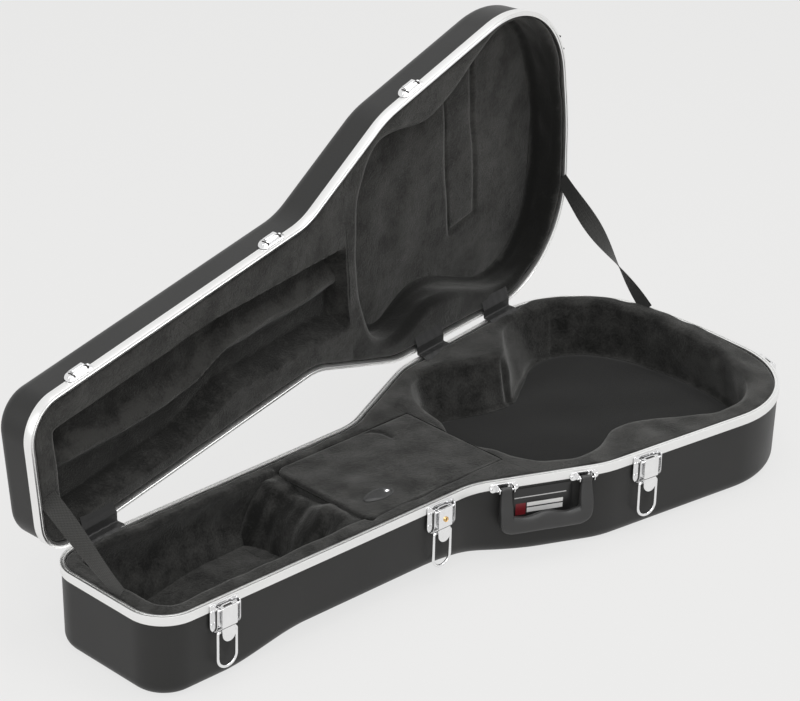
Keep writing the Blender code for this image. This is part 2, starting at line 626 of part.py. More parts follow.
def latch_lever(number, frame):
    """The lever's blade and the rod that it turns on, between the plate's cheeks."""
    outline = [(-LEVER_HALF, LEVER_TOP)] + round_end(LEVER_HALF, LEVER_TIP) + [(LEVER_HALF, LEVER_TOP)]
    blade = tube("blade", [[Vector((x, -y, z)) for x, z in outline] for y in (BLADE_BACK, BLADE_FRONT)], CHROME)
    reach = CHEEK_IN - CLEAR
    rod = cylinder("rod", TRUNNION, (-reach, -PIVOT_OUT, -PIVOT_DOWN), (reach, -PIVOT_OUT, -PIVOT_DOWN), 12, CHROME)
    place(union(f"latch_lever_{number}", [blade, rod], CHROME), frame)


def latch_bail(number, frame):
    """A closed wire loop, straight at its top, where it turns behind the lever, and round at its foot."""
    name = f"latch_bail_{number}"
    wire = bpy.data.curves.new(name, "CURVE")
    wire.dimensions = "3D"
    wire.bevel_depth = WIRE
    wire.bevel_resolution = 2
    wire.materials.append(CHROME)
    cut = BAIL_CORNER * (1 - math.sqrt(0.5))
    right = [(BAIL_HALF, BAIL_TOP - BAIL_CORNER), (BAIL_HALF - cut, BAIL_TOP - cut),
             (BAIL_HALF - BAIL_CORNER, BAIL_TOP)]
    outline = round_end(BAIL_HALF, BAIL_FOOT) + right + [(-x, z) for x, z in right[::-1]]
    spline = wire.splines.new("POLY")
    spline.points.add(len(outline) - 1)
    for point, (x, z) in zip(spline.points, outline):
        point.co = (x, -BAIL_OUT, z, 1)
    spline.use_cyclic_u = True
    bail = bpy.data.objects.new(name, wire)
    case.objects.link(bail)
    place(bail, frame)


def catch(number, frame):
    """The lid's half of a latch: a plate with a hook that the bail pulls on."""
    shelf = CATCH_LOW + HOOK_UP
    pieces = [box("plate", (-CATCH_HALF, -PLATE_FACE, CATCH_LOW), (CATCH_HALF, -SEAT, CATCH_HIGH), CHROME),
              box("shelf", (-HOOK_HALF, -HOOK_OUT, shelf), (HOOK_HALF, OVERLAP - PLATE_FACE, shelf + HOOK_THICK),
                  CHROME),
              box("hook", (-HOOK_HALF, -HOOK_OUT, shelf + OVERLAP), (HOOK_HALF, HOOK_THICK - HOOK_OUT,
                                                                      shelf + HOOK_TALL), CHROME)]
    place(union(f"catch_plate_{number}", pieces, CHROME), OPEN @ frame)


for number, frame in enumerate(LATCH_FRAMES, 1):
    latch_plate(number, frame)
    latch_lever(number, frame)
    latch_bail(number, frame)
    catch(number, frame)
place(cylinder("lock_cylinder", LOCK_RADIUS, (0, -BLADE_FRONT - CLEAR, -LOCK_DOWN),
               (0, -BLADE_FRONT - CLEAR - LOCK_HEIGHT, -LOCK_DOWN), 18, BRASS), wall_frame(u=LOCK_STATION))

# Handle: a moulded grip with two legs, hung in two riveted brackets
HANDLE_FRAME = wall_frame(u=HANDLE_STATION)
BRACKET_LOW, BRACKET_HIGH = -BRACKET_DOWN - BRACKET_TALL / 2, -BRACKET_DOWN + BRACKET_TALL / 2


def handle_bracket(number, x):
    pieces = [box("plate", (x - BRACKET_HALF, -PLATE_FACE, BRACKET_LOW), (x + BRACKET_HALF, -SEAT, BRACKET_HIGH),
                  CHROME)]
    for side in (-1, 1):
        near, far = sorted(x + side * (HANDLE_LEG / 2 + out) for out in (RUN, RUN + SHEET))
        pieces.append(box("ear", (near, -HANDLE_OUT - HUB_RADIUS, BRACKET_LOW + SHEET),
                          (far, OVERLAP - PLATE_FACE, BRACKET_HIGH - SHEET), CHROME))
        pieces.append(rivet_head(x + side * (BRACKET_HALF - RIVET_EDGE - RIVET_RADIUS), -BRACKET_DOWN))
    place(union(f"handle_bracket_{number}", pieces, CHROME), HANDLE_FRAME)


def grip_section(x):
    """Rounded section of the grip: its upper edge waves for the fingers."""
    top = HANDLE_FOOT + GRIP_TALL + GRIP_WAVE * math.cos(4 * math.pi * x / HANDLE_SPAN)
    middle, tall = (top + HANDLE_FOOT) / 2, (top - HANDLE_FOOT) / 2
    return [Vector((x, -HANDLE_OUT - GRIP_PROUD + GRIP_THICK / 2 * math.cos(a), middle + tall * math.sin(a)))
            for a in [math.pi * k / 6 for k in range(12)]]


grip_pieces = []
for number, x in ((1, -HANDLE_SPAN / 2), (2, HANDLE_SPAN / 2)):
    handle_bracket(number, x)
    low, high = x - HANDLE_LEG / 2, x + HANDLE_LEG / 2
    grip_pieces.append(cylinder("hub", HUB_RADIUS, (low, -HANDLE_OUT, -BRACKET_DOWN),
                                (high, -HANDLE_OUT, -BRACKET_DOWN), 14, MOULDING))
    grip_pieces.append(box("leg", (low, -HANDLE_OUT - LEG_THICK / 2, HANDLE_FOOT + GRIP_TALL / 2),
                           (high, -HANDLE_OUT + LEG_THICK / 2, -BRACKET_DOWN), MOULDING))
GRIP_HALF = (HANDLE_SPAN + HANDLE_LEG) / 2
grip_pieces.append(tube("bar", [grip_section(GRIP_HALF * (k / 8 - 1)) for k in range(17)], MOULDING))
place(union("handle_grip", grip_pieces, MOULDING), HANDLE_FRAME)


def wall_inset(z):
    """How far the shell's wall lies inside the rim's outline at a height below the rim."""
    straight = BASE_DEPTH - EDGE_FILLET - WEB
    return SHELL_INSET + WALL_DRAFT * (-z - WEB) / straight


label = box("label", (-LABEL_WIDE / 2, -LABEL_THICK, LABEL_FOOT), (LABEL_WIDE / 2, 0, LABEL_TOP), LABEL)
for vertex in label.data.vertices:
    vertex.co.y += wall_inset(vertex.co.z) - CLEAR
place(label, HANDLE_FRAME)


# Lid hinges: a leaf on each half, a pin, and a vinyl flap over each hinge inside
def hinge_frame(u):
    turn = Matrix((ALONG, OUT, Vector((0, 0, 1)))).transposed().to_4x4()
    return Matrix.Translation(on_hinge(u)) @ turn


def back_wall_frame(u):
    """The frame at a station of the back wall, with local y out of it."""
    front = wall_frame(u=u)
    place_at = front.translation
    turn = Matrix.Rotation(-front.to_euler().z, 4, "Z")
    return Matrix.Translation(Vector((place_at.x, -place_at.y, place_at.z))) @ turn


def hinge_leaf(name, u, way, spans):
    """One leaf: its plate on the wall, a bridge to the hinge line and its knuckles. way is -1 below.
    Where the wall falls away from the hinge line, a packing block fills the space to it."""
    plate_in = SEAT - HINGE_OFFSET
    plate_out = plate_in + SHEET
    low, high = sorted((way * LEAF_START, way * LEAF_DROP))
    near, far = sorted((way * (BARREL_RADIUS - OVERLAP * 2), way * (BARREL_RADIUS + SHEET)))
    half = HINGE_LENGTH / 2
    pieces = [box("plate", (-half, plate_in, low), (half, plate_out, high), CHROME)]
    for start, end in spans:
        pieces.append(cylinder("knuckle", BARREL_RADIUS, (start, 0, 0), (end, 0, 0), 16, CHROME))
        pieces.append(box("bridge", (start, plate_in, near), (end, -CLEAR, far), CHROME))
    cuts = [cylinder("bore", PIN_RADIUS + PIN_CLEAR, (-HINGE_LENGTH, 0, 0), (HINGE_LENGTH, 0, 0), 16)]
    wall = hinge_frame(u).inverted() @ back_wall_frame(u)
    fall = -HINGE_OFFSET - wall.translation.y
    if fall > SHEET:
        pieces.append(box("packing", (-half, plate_in - 2 * fall, low), (half, plate_in + OVERLAP, high), CHROME))
        behind = box("behind", (-2 * HINGE_LENGTH, -4 * fall, -BASE_DEPTH), (2 * HINGE_LENGTH, SEAT, BASE_DEPTH))
        behind.data.transform(wall)
        cuts.append(behind)
    return union(name, pieces, CHROME, cuts)


def hinge_flap(name):
    """Vinyl from the base's rim to the lid's, passing in front of the knuckles."""
    low, side = RIM_GAP / 2 + CLEAR, RIM_GAP / 2 + TONGUE_HEIGHT + CLEAR
    near, turn = HINGE_OFFSET + LIP_WIDTH + FLAP_REACH, BARREL_RADIUS + FLAP_SLACK
    outline = [(-near, low), (-turn, low), (-side, turn), (-side, near), (-side - FLAP_THICK, near),
               (-side - FLAP_THICK, turn + CLEAR), (-turn - CLEAR, low + FLAP_THICK), (-near, low + FLAP_THICK)]
    ends = [[Vector((x, y, z)) for y, z in outline] for x in (-FLAP_LENGTH / 2, FLAP_LENGTH / 2)]
    return tube(name, ends, VINYL)


third = HINGE_LENGTH / 3
for number, station in enumerate(HINGE_STATIONS, 1):
    frame = hinge_frame(station)
    outer = [(-1.5 * third, -0.5 * third - CLEAR), (0.5 * third + CLEAR, 1.5 * third)]
    place(hinge_leaf(f"hinge_leaf_base_{number}", station, -1, outer), frame)
    place(hinge_leaf(f"hinge_leaf_lid_{number}", station, 1, [(-0.5 * third, 0.5 * third)]), OPEN @ frame)
    place(cylinder(f"hinge_pin_{number}", PIN_RADIUS, (-1.5 * third, 0, 0), (1.5 * third, 0, 0), 16, CHROME),
          frame)
    place(hinge_flap(f"hinge_flap_{number}"), frame)


# Stay straps: webbing from the base's end wall to the lid's, with a half twist in the tail one
def strap(name, station, v_base, v_lid, twist):
    """A ribbon between its anchors, just above the foam of the base and of the lid."""
    low = at(station, v_base, FOAM_TOP + STRAP_LIFT)
    high = OPEN @ at(station, v_lid, LID_RIM + LID_PAD_DROP - STRAP_LIFT)
    run = high - low
    wide = run.cross(Vector((1, 0, 0))).normalized()
    thick = wide.cross(run).normalized()
    sections = []
    for k in range(13):
        t = k / 12
        turn = Matrix.Rotation(twist * smooth(t), 3, run.normalized())
        centre = low + run * t
        w, h = turn @ wide * STRAP_WIDE / 2, turn @ thick * STRAP_THICK / 2
        sections.append([centre - w - h, centre + w - h, centre + w + h, centre - w + h])
    return tube(name, sections, WEBBING)


strap("stay_strap_head", HEAD_STRAP_AT, HEAD_STRAP_BASE, HEAD_STRAP_LID, 0.0)
strap("stay_strap_tail", CASE_LENGTH - TAIL_STRAP_AT, TAIL_STRAP_BASE, TAIL_STRAP_LID, math.pi)

for made in case.objects:
    if made.type == "MESH" and made.name.startswith(("latch", "catch", "handle", "hinge_pin", "lock", "pull")):
        smooth_shade(made)
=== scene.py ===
import json
import math

import bmesh
import bpy
import numpy as np
from mathutils import Matrix, Vector


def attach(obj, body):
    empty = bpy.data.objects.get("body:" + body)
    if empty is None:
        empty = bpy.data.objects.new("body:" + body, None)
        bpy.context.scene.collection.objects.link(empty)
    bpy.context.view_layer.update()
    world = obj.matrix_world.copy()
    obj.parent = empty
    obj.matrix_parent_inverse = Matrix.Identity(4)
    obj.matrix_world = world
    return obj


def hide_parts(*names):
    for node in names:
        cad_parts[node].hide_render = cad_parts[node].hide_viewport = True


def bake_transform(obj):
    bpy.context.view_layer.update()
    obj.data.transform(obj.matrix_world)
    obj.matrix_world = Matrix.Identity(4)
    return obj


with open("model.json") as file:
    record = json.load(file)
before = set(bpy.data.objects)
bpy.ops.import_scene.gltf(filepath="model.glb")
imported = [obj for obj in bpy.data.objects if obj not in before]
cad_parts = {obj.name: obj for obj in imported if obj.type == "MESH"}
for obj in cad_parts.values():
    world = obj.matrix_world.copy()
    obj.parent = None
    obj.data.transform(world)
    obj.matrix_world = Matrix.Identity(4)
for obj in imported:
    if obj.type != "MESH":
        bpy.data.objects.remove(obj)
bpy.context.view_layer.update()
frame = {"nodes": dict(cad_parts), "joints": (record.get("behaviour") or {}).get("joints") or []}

# Studio: a seamless pale grey floor and background, three soft lamps and an even grey world. The camera
# stands at the head end, in front of the case and above it, with a long lens.
FOCAL_PIXELS, PHOTO_WIDTH, SENSOR_WIDTH = 2983.15, 800, 36.0
CAMERA_AT = (-2.71557, -2.40102, 1.92958)
CAMERA_RIGHT, CAMERA_DOWN = (0.71320, -0.70060, 0.02239), (-0.29269, -0.32666, -0.89868)
CAMERA_AHEAD = (0.63693, 0.63439, -0.43803)
BACKGROUND = (0.831, 0.831, 0.828, 1)

scene = bpy.context.scene
scene.view_settings.view_transform = "Standard"
lens = bpy.data.cameras.new("camera")
lens.sensor_width = SENSOR_WIDTH
lens.lens = FOCAL_PIXELS * SENSOR_WIDTH / PHOTO_WIDTH
lens.clip_end = 50
camera = bpy.data.objects.new("camera", lens)
scene.collection.objects.link(camera)
axes = Matrix((CAMERA_RIGHT, [-x for x in CAMERA_DOWN], [-x for x in CAMERA_AHEAD]))
camera.matrix_world = Matrix.Translation(CAMERA_AT) @ axes.transposed().to_4x4()
scene.camera = camera


class Shade:
    """A socket in a material, so that shader maths is written as it is read, such as 1 - mask * 2."""

    def __init__(self, tree, socket=None):
        self.tree, self.socket = tree, socket

    def node(self, kind, settings=None, sockets=None, out=0):
        """A node of this type: its settings are set first, a ramp's stops among them, then its sockets."""
        made = self.tree.nodes.new("ShaderNode" + kind)
        for key, value in (settings or {}).items():
            if key == "stops":
                for stop, (place, colour) in zip(made.color_ramp.elements, value):
                    stop.position, stop.color = place, colour
            else:
                setattr(made, key, value)
        for key, value in (sockets or {}).items():
            if isinstance(value, Shade):
                self.tree.links.new(value.socket, made.inputs[key])
            else:
                made.inputs[key].default_value = value
        return Shade(self.tree, made.outputs[out])

    def maths(self, operation, first, second=0.0):
        """A maths node on two values."""
        return self.node("Math", {"operation": operation}, {0: first, 1: second})

    def __add__(self, other):
        return self.maths("ADD", self, other)

    def __rsub__(self, other):
        return self.maths("SUBTRACT", other, self)

    def __mul__(self, other):
        return self.maths("MULTIPLY", self, other)

    def noise(self, scale, detail=2.0, rough=0.5, out=0):
        """Soft noise at this place."""
        sockets = {"Vector": self, "Scale": scale, "Detail": detail, "Roughness": rough}
        return self.node("TexNoise", None, sockets, out)

    def split(self):
        """The first two numbers of a place."""
        first = self.node("SeparateXYZ", None, {0: self})
        return first, Shade(self.tree, first.socket.node.outputs[1])

    def bump(self, strength, distance):
        """The surface's normal with this height on it."""
        return self.node("Bump", None, {"Strength": strength, "Distance": distance, "Height": self})

    def blend(self, first, second):
        """A colour between two colours, by this factor."""
        ends = [end if isinstance(end, Shade) else (*end, 1) for end in (first, second)]
        return self.node("Mix", {"data_type": "RGBA"}, {0: self, 6: ends[0], 7: ends[1]}, 2)


def finish(name, constants, varied, own_map=None):
    """A material on a Principled shader: its constant sockets, then those that vary, from a function that
    takes the place in the object, or in a piece's own map, and returns sockets by name."""
    made = bpy.data.materials.new(name)
    made.use_nodes = True
    shader = made.node_tree.nodes["Principled BSDF"]
    for key, value in constants.items():
        shader.inputs[key].default_value = value
    start = Shade(made.node_tree)
    place = start.node("UVMap", {"uv_map": own_map}) if own_map else start.node("TexCoord", out="Object")
    for key, value in varied(place).items():
        made.node_tree.links.new(value.socket, shader.inputs[key])
    return made


def direct(start):
    """1 on a ray from the camera, or by way of a mirror or glass, and 0 on a ray that only lights."""
    eye, gloss, glass = (start.node("LightPath", out=f"Is {kind} Ray")
                         for kind in ("Camera", "Glossy", "Transmission"))
    return start.maths("MAXIMUM", eye, start.maths("MAXIMUM", gloss, glass))


for name, place, target, width, power in (("front_lamp", (-2.2, -2.6, 2.8), (0, 0, 0.2), 2.2, 62),
                                          ("top_lamp", (0.4, -0.3, 3.4), (0, 0, 0.2), 2.6, 60),
                                          ("head_lamp", (-3.6, 0.6, 1.6), (0, 0, 0.25), 1.6, 26)):
    data = bpy.data.lights.new(name, "AREA")
    data.size, data.energy = width, power
    lamp = bpy.data.objects.new(name, data)
    scene.collection.objects.link(lamp)
    aim = (Vector(target) - Vector(place)).to_track_quat("-Z", "Y").to_matrix().to_4x4()
    lamp.matrix_world = Matrix.Translation(place) @ aim

world = bpy.data.worlds.new("studio")
scene.world = world
world.use_nodes = True
air = Shade(world.node_tree)
lit = air.node("Background", None, {"Color": (1, 1, 1, 1), "Strength": 0.42})
shown = air.node("Background", None, {"Color": BACKGROUND, "Strength": 1.0})
sky = air.node("MixShader", None, {0: direct(air), 1: lit, 2: shown})
world.node_tree.links.new(sky.socket, world.node_tree.nodes["World Output"].inputs[0])

FLOOR_REACH = 30
corners = [(x * FLOOR_REACH, y * FLOOR_REACH, 0) for x, y in ((-1, -1), (1, -1), (1, 1), (-1, 1))]
floor_mesh = bpy.data.meshes.new("floor")
floor_mesh.from_pydata(corners, [], [(0, 1, 2, 3)])
floor = bpy.data.objects.new("floor", floor_mesh)
scene.collection.objects.link(floor)
paper = bpy.data.materials.new("paper")
paper.use_nodes = True
page = Shade(paper.node_tree)
glow = page.node("Emission", None, {"Color": BACKGROUND, "Strength": 1.0})
matt = page.node("BsdfDiffuse", None, {"Color": (0.82, 0.80, 0.775, 1)})
mixed = page.node("MixShader", None, {0: direct(page) * 0.88, 1: matt, 2: glow})
paper.node_tree.links.new(mixed.socket, paper.node_tree.nodes["Material Output"].inputs[0])
floor_mesh.materials.append(paper)

# Shells: two trays of 3 mm ABS sheet, vacuum formed with a pebble grain. The base's underside is raised below
# the neck. Both follow one outline of straight runs and arcs, measured along the case from the head end.
ORIGIN, CASE_LENGTH, HEAD_CORNER = 0.800, 1.100, 0.0517
NECK_END, BODY_START, BODY_END = (0.5205, 0.1142), (0.6890, 0.1920), (1.0850, 0.2459)
SIDE_SLOPE = math.atan2(BODY_END[1] - BODY_START[1], BODY_END[0] - BODY_START[0])
HINGE_OUT, OUTLINE_POINTS, SHARP_ANGLE = 0.0042, 620, math.radians(42)
BASE_DEPTH, TOP, WALL, FILLET = 0.1145, 0.178, 0.003, 0.018
RIM, LID_RIM = BASE_DEPTH - 0.0002, BASE_DEPTH + 0.0002
RIM_TO_SHELL, SHELL_INSET, DRAFT = 0.0027, 0.0016, 0.002
LID_OPENING = math.radians(-88.4)


def hinge_side(u):
    """The hinge line's distance from the centre line at a station."""
    return BODY_START[1] + (u - BODY_START[0]) * math.tan(SIDE_SLOPE) + HINGE_OUT / math.cos(SIDE_SLOPE)


def rounded(corners, radii, steps):
    """A run of straight lines with its corners turned into arcs: each arc's centre lies on the corner's
    bisector, at its radius over the sine of half the angle."""
    corners = np.array(corners, float)
    parts = [corners[:1]]
    for before, corner, after, radius in zip(corners, corners[1:], corners[2:], radii):
        back = (before - corner) / np.linalg.norm(before - corner)
        ahead = (after - corner) / np.linalg.norm(after - corner)
        half = math.acos(np.clip(back @ ahead, -1, 1)) / 2
        middle = back + ahead
        centre = corner + middle / np.linalg.norm(middle) * radius / math.sin(half)
        first = corner + back * radius / math.tan(half) - centre
        last = corner + ahead * radius / math.tan(half) - centre
        sweep = math.atan2(first[0] * last[1] - first[1] * last[0], first @ last)
        angle = np.linspace(0, sweep, steps)[:, None]
        parts.append(centre + first * np.cos(angle) + np.array([-first[1], first[0]]) * np.sin(angle))
    return np.vstack(parts + [corners[-1:]])


def spread(curve, count):
    """A closed curve of points at equal steps along it."""
    closed = np.vstack([curve, curve[:1]])
    length = np.concatenate([[0], np.cumsum(np.linalg.norm(np.diff(closed, axis=0), axis=1))])
    wanted = np.linspace(0, length[-1], count, endpoint=False)
    return np.column_stack([np.interp(wanted, length, closed[:, k]) for k in (0, 1)])


def inwards(curve):
    """The directions square to a closed curve that point into it, for a curve that runs clockwise."""
    step = np.roll(curve, -1, axis=0) - np.roll(curve, 1, axis=0)
    step /= np.linalg.norm(step, axis=1)[:, None]
    return np.column_stack([step[:, 1], -step[:, 0]])


HEAD_HALF = hinge_side(HEAD_CORNER) - 0.0015
side = rounded([(0, 0), (0, HEAD_HALF), NECK_END, BODY_START, BODY_END, (CASE_LENGTH, 0),
                (BODY_END[0], -BODY_END[1])], [HEAD_CORNER, 0.100, 0.139, 0.150, 0.535], 33)
side = side[side[:, 1] > 1e-4]
tail_end = side[-1, 0] + (side[-1, 0] - side[-2, 0]) * 0.4
side = np.vstack([[(0, 0)], side, [(tail_end, 0)]])
OUTLINE = spread(np.vstack([side, (side * (1, -1))[-2:0:-1]]), OUTLINE_POINTS)
INWARD = inwards(OUTLINE)


def raised(flat, z):
    """Flat points with a height, or one height each, as points."""
    return np.column_stack([flat, np.broadcast_to(z, len(flat))])


def lifted(flat, z):
    """Stations and sides with a height, or one height each, as points in the frame."""
    return raised(flat - (ORIGIN, 0), z)


def ring(inset, height, under=lambda u: u * 0):
    """The rim's outline moved inwards, at a height above what is under it at each station."""
    flat = OUTLINE + INWARD * inset
    return lifted(flat, under(flat[:, 0]) + height)


def smooth(t):
    """The smooth step 3t2 - 2t3, held at 0 and 1 outside its range."""
    t = np.clip(t, 0, 1)
    return t * t * (3 - 2 * t)


def rise(u):
    """How far the base's underside is raised at a station: up before the neck and down again behind it."""
    return 0.0175 * (smooth((u - 0.105) / 0.135) - smooth((u - 0.440) / 0.175))


along = np.array([math.cos(SIDE_SLOPE), math.sin(SIDE_SLOPE), 0])
hinge_start = Vector((-ORIGIN, hinge_side(0), BASE_DEPTH))
SHUT = np.eye(4)
OPEN = np.array(Matrix.Translation(hinge_start) @ Matrix.Rotation(LID_OPENING, 4, Vector(along))
                @ Matrix.Translation(-hinge_start))


def moved(points, at):
    """Points carried into a frame: turned, then shifted."""
    return points @ at[:3, :3].T + at[:3, 3]


def surface(name, grids, look, at=SHUT, closed=False):
    """One grid of points, rows by columns, or a list of grids, moved into a frame, as quads in one mesh. The
    last column is joined to the first, and with closed also the last row to the first. Rows drawn together to
    a line or a point close the form there."""
    points, quads, start = [], [], 0
    for grid in [grids] if np.ndim(grids[0]) == 2 else grids:
        grid = moved(np.array(grid), at)
        rows, columns = grid.shape[:2]
        index = np.arange(rows * columns).reshape(rows, columns) + start
        index = np.hstack([index, index[:, :1]])
        if closed:
            index = np.vstack([index, index[:1]])
        corners = [index[:-1, :-1], index[:-1, 1:], index[1:, 1:], index[1:, :-1]]
        quads.append(np.stack(corners, -1).reshape(-1, 4))
        points.append(grid.reshape(-1, 3))
        start += rows * columns
    mesh = bpy.data.meshes.new(name)
    mesh.from_pydata(np.vstack(points).tolist(), [], np.vstack(quads).tolist())
    build = bmesh.new()
    build.from_mesh(mesh)
    bmesh.ops.remove_doubles(build, verts=build.verts, dist=2e-6)
    bmesh.ops.dissolve_degenerate(build, edges=build.edges, dist=1e-7)
    bmesh.ops.recalc_face_normals(build, faces=build.faces)
    build.to_mesh(mesh)
    build.free()
    mesh.polygons.foreach_set("use_smooth", np.ones(len(mesh.polygons), bool))
    mesh.set_sharp_from_angle(angle=SHARP_ANGLE)
    made = bpy.data.objects.new(name, mesh)
    scene.collection.objects.link(made)
    mesh.materials.append(look)
    return made


def belong(piece, body, slot, *nodes):
    """Puts a piece on its body's empty and hides the nodes that it stands for. The slot is not used."""
    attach(piece, body)
    if nodes:
        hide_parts(*nodes)


def shell(extra, floor_at, top, way):
    """A tray's wall and floor at an inset: down the drafted wall, round the fillet, in to the centre line."""
    radius, wall_inset = FILLET - extra, SHELL_INSET + extra
    rings = [ring(wall_inset, top), ring(wall_inset + DRAFT / 10, top - way * 0.006)]
    for angle in np.linspace(0, math.pi / 2, 9):
        lift = way * (extra + radius * (1 - math.sin(angle)))
        rings.append(ring(wall_inset + DRAFT + radius * (1 - math.cos(angle)), lift, floor_at))
    return rings + [rings[-1] * (1, part, 1) for part in (0.75, 0.5, 0.25, 0)]


def pebble(place):
    """Fine pebble grain: cells under a millimetre across over a slower swell, a little paler on its tops."""
    cells = place.node("TexVoronoi", {"feature": "SMOOTH_F1"},
                       {"Vector": place, "Scale": 1150.0, "Smoothness": 0.6})
    broad = place.noise(9.0)
    grain = cells * 0.7 + place.noise(260.0, 3.0) * 0.5
    tone = cells * 0.35 + broad * 0.5
    return {"Base Color": tone.blend((0.025, 0.025, 0.0245), (0.0165, 0.0165, 0.016)),
            "Roughness": broad * 0.16 + 0.35, "Normal": (1.0 - grain).bump(0.32, 0.0006)}


ABS = finish("abs_pebble", {"IOR": 1.5, "Specular IOR Level": 0.28}, pebble)
for body, floor_at, edge, way, at in (("base", rise, RIM - RIM_TO_SHELL, 1, SHUT),
                                      ("lid", lambda u: u * 0 + TOP, LID_RIM + RIM_TO_SHELL, -1, OPEN)):
    rows = shell(WALL, floor_at, edge, way)[::-1] + shell(0, floor_at, edge, way)
    belong(surface(body + "_shell_tray", rows, ABS, at), body, "black_abs", body + "_shell")


# Valances: aluminium channels pressed on to the shells' edges, with a groove in the base's, a tongue in the
# lid's, and an inner leg that holds the lining. The extrusion is satin.
GROOVE = [(0.0026, 0), (0.0026, 0.0014), (0.0042, 0.0014), (0.0042, 0)]
TONGUE = [(0.0029, 0), (0.0029, -0.0010), (0.0039, -0.0010), (0.0039, 0)]
CHANNEL_LEG, CHANNEL_WEB, CHANNEL_WIDE, CHANNEL_CORNER = 0.012, 0.0024, 0.0066, 0.00022


def softened(section, radius):
    """A section's polygon with each corner cut to a small curve through three points."""
    before, after = np.roll(section, 1, axis=0) - section, np.roll(section, -1, axis=0) - section
    a = section + before * radius / np.linalg.norm(before, axis=1)[:, None]
    b = section + after * radius / np.linalg.norm(after, axis=1)[:, None]
    middle = a * 0.25 + section * 0.5 + b * 0.25
    return np.stack([a, middle, b], axis=1).reshape(-1, 2)


def extruded(place):
    """Satin aluminium: a fine, faint unevenness, and dull patches."""
    patches = place.noise(30.0, 3.0)
    return {"Base Color": patches.blend((0.95, 0.95, 0.945), (0.89, 0.89, 0.88)),
            "Roughness": patches * 0.14 + 0.24, "Normal": place.noise(700.0).bump(0.05, 0.0002)}


ALUMINIUM = finish("satin_aluminium", {"Metallic": 1.0}, extruded)
for body, edge, way, ridge, at in (("base", RIM, -1, GROOVE, SHUT), ("lid", LID_RIM, 1, TONGUE, OPEN)):
    section = np.array([(0, CHANNEL_LEG), (0, 0)] + ridge + [
        (CHANNEL_WIDE, 0), (CHANNEL_WIDE, 0.008), (0.0049, 0.008), (0.0049, CHANNEL_WEB),
        (0.0013, CHANNEL_WEB), (0.0013, CHANNEL_LEG)]) * (1, way) + (0, edge)
    rows = [ring(*point) for point in softened(section, CHANNEL_CORNER)]
    rail = surface(body + "_valance_rail", rows, ALUMINIUM, at, closed=True)
    belong(rail, body, "aluminium", body + "_valance")


# Base lining: foam blocks under one black plush, glued in: a ring round the guitar's cavity, the cavity's
# floor, a horseshoe round the neck's pockets, the headstock's floor and the hollowed neck rest.
FOAM_TOP, FLOOR_TOP, FOAM_FOOT, SPLIT = 0.1135, 0.040, 0.0039, 0.600
BODY_FACE, FOAM_INSET, FOAM_SHOULDER, RAYS = SPLIT + 0.0003, 0.0071, 0.070, 720
FOAM_HEEL = ((0.0216, FOAM_FOOT), (0.0115, 0.0085), (0.0073, 0.018))
CAVITY = (0.625, (0.700, 0.142), (0.805, 0.116), (0.965, 0.181), 1.070)
BODY_MIDDLE, LID_MIDDLE, HEAD_MIDDLE = (0.842, 0.0), (0.850, 0.0), (0.078, 0.0)
POCKET_START, REST_END, POCKET_LOW, POCKET_HIGH = 0.032, 0.3615, -0.0785, 0.0855


def guitar(shape, count=360):
    """A guitar's closed outline: superellipse ends at both bouts and smooth steps in to the waist."""
    def bout(share, power):
        """The half width, as a share, at a share of the way out to the end."""
        return np.clip(1 - np.clip(share, 0, 1) ** power, 0, 1) ** (1 / power)

    shoulder, (upper, upper_half), (waist, waist_half), (lower, lower_half), tail = shape
    turn = np.linspace(0, math.pi / 2, 60)
    fore = upper - (upper - shoulder) * np.cos(turn)
    aft = lower + (tail - lower) * np.sin(turn)
    middle = np.linspace(upper, lower, 90)[1:-1]
    into = upper_half + (waist_half - upper_half) * smooth((middle - upper) / (waist - upper))
    out_of = waist_half + (lower_half - waist_half) * smooth((middle - waist) / (lower - waist))
    half = np.concatenate([upper_half * bout((upper - fore) / (upper - shoulder), 2.4),
                           np.where(middle < waist, into, out_of),
                           lower_half * bout((aft - lower) / (tail - lower), 2.2)])
    curve = np.column_stack([np.concatenate([fore, middle, aft]), half])
    return spread(np.vstack([curve, curve[-2:0:-1] * (1, -1)]), count)


def distance(points, curve, closed=True):
    """The distance of each point from a curve: the least over its straight pieces."""
    start = curve if closed else curve[:-1]
    step = (np.roll(curve, -1, axis=0) if closed else curve[1:]) - start
    offset = points[:, None, :] - start[None]
    share = np.clip((offset * step).sum(-1) / np.maximum((step ** 2).sum(-1), 1e-12), 0, 1)
    return np.linalg.norm(offset - share[..., None] * step, axis=-1).min(axis=1)


def reach(curve, centre, angles):
    """How far a closed curve lies from a centre in each direction, read off between its points."""
    offset = curve - np.array(centre)
    own = np.arctan2(offset[:, 1], offset[:, 0])
    order = np.argsort(own)
    return np.interp(angles, own[order], np.hypot(offset[:, 0], offset[:, 1])[order], period=2 * math.pi)


def fall(gap, width, depth):
    """How far foam falls towards an edge: a quarter ellipse of this width and depth."""
    t = np.clip(1 - gap / width, 0, 1)
    return depth * (1 - np.sqrt(1 - t * t))


def bell(t):
    """The bell curve exp(-t2)."""
    return np.exp(-t ** 2)


def eased(low, high, count):
    """Steps between two numbers, closer together at both ends."""
    return low + (high - low) * (1 - np.cos(np.linspace(0, math.pi, count))) / 2


def lumps(points, size, seed, waves=14):
    """Soft unevenness, about -1 to 1: the mean of plane waves of about this length in seeded directions."""
    draw = np.random.default_rng(seed)
    ways = draw.normal(size=(waves, points.shape[-1]))
    ways *= (2 * math.pi / size * draw.uniform(0.6, 1.5, waves) / np.linalg.norm(ways, axis=1))[:, None]
    return np.sin(points @ ways.T + draw.uniform(0, 6.28, waves)).sum(-1) / math.sqrt(waves)


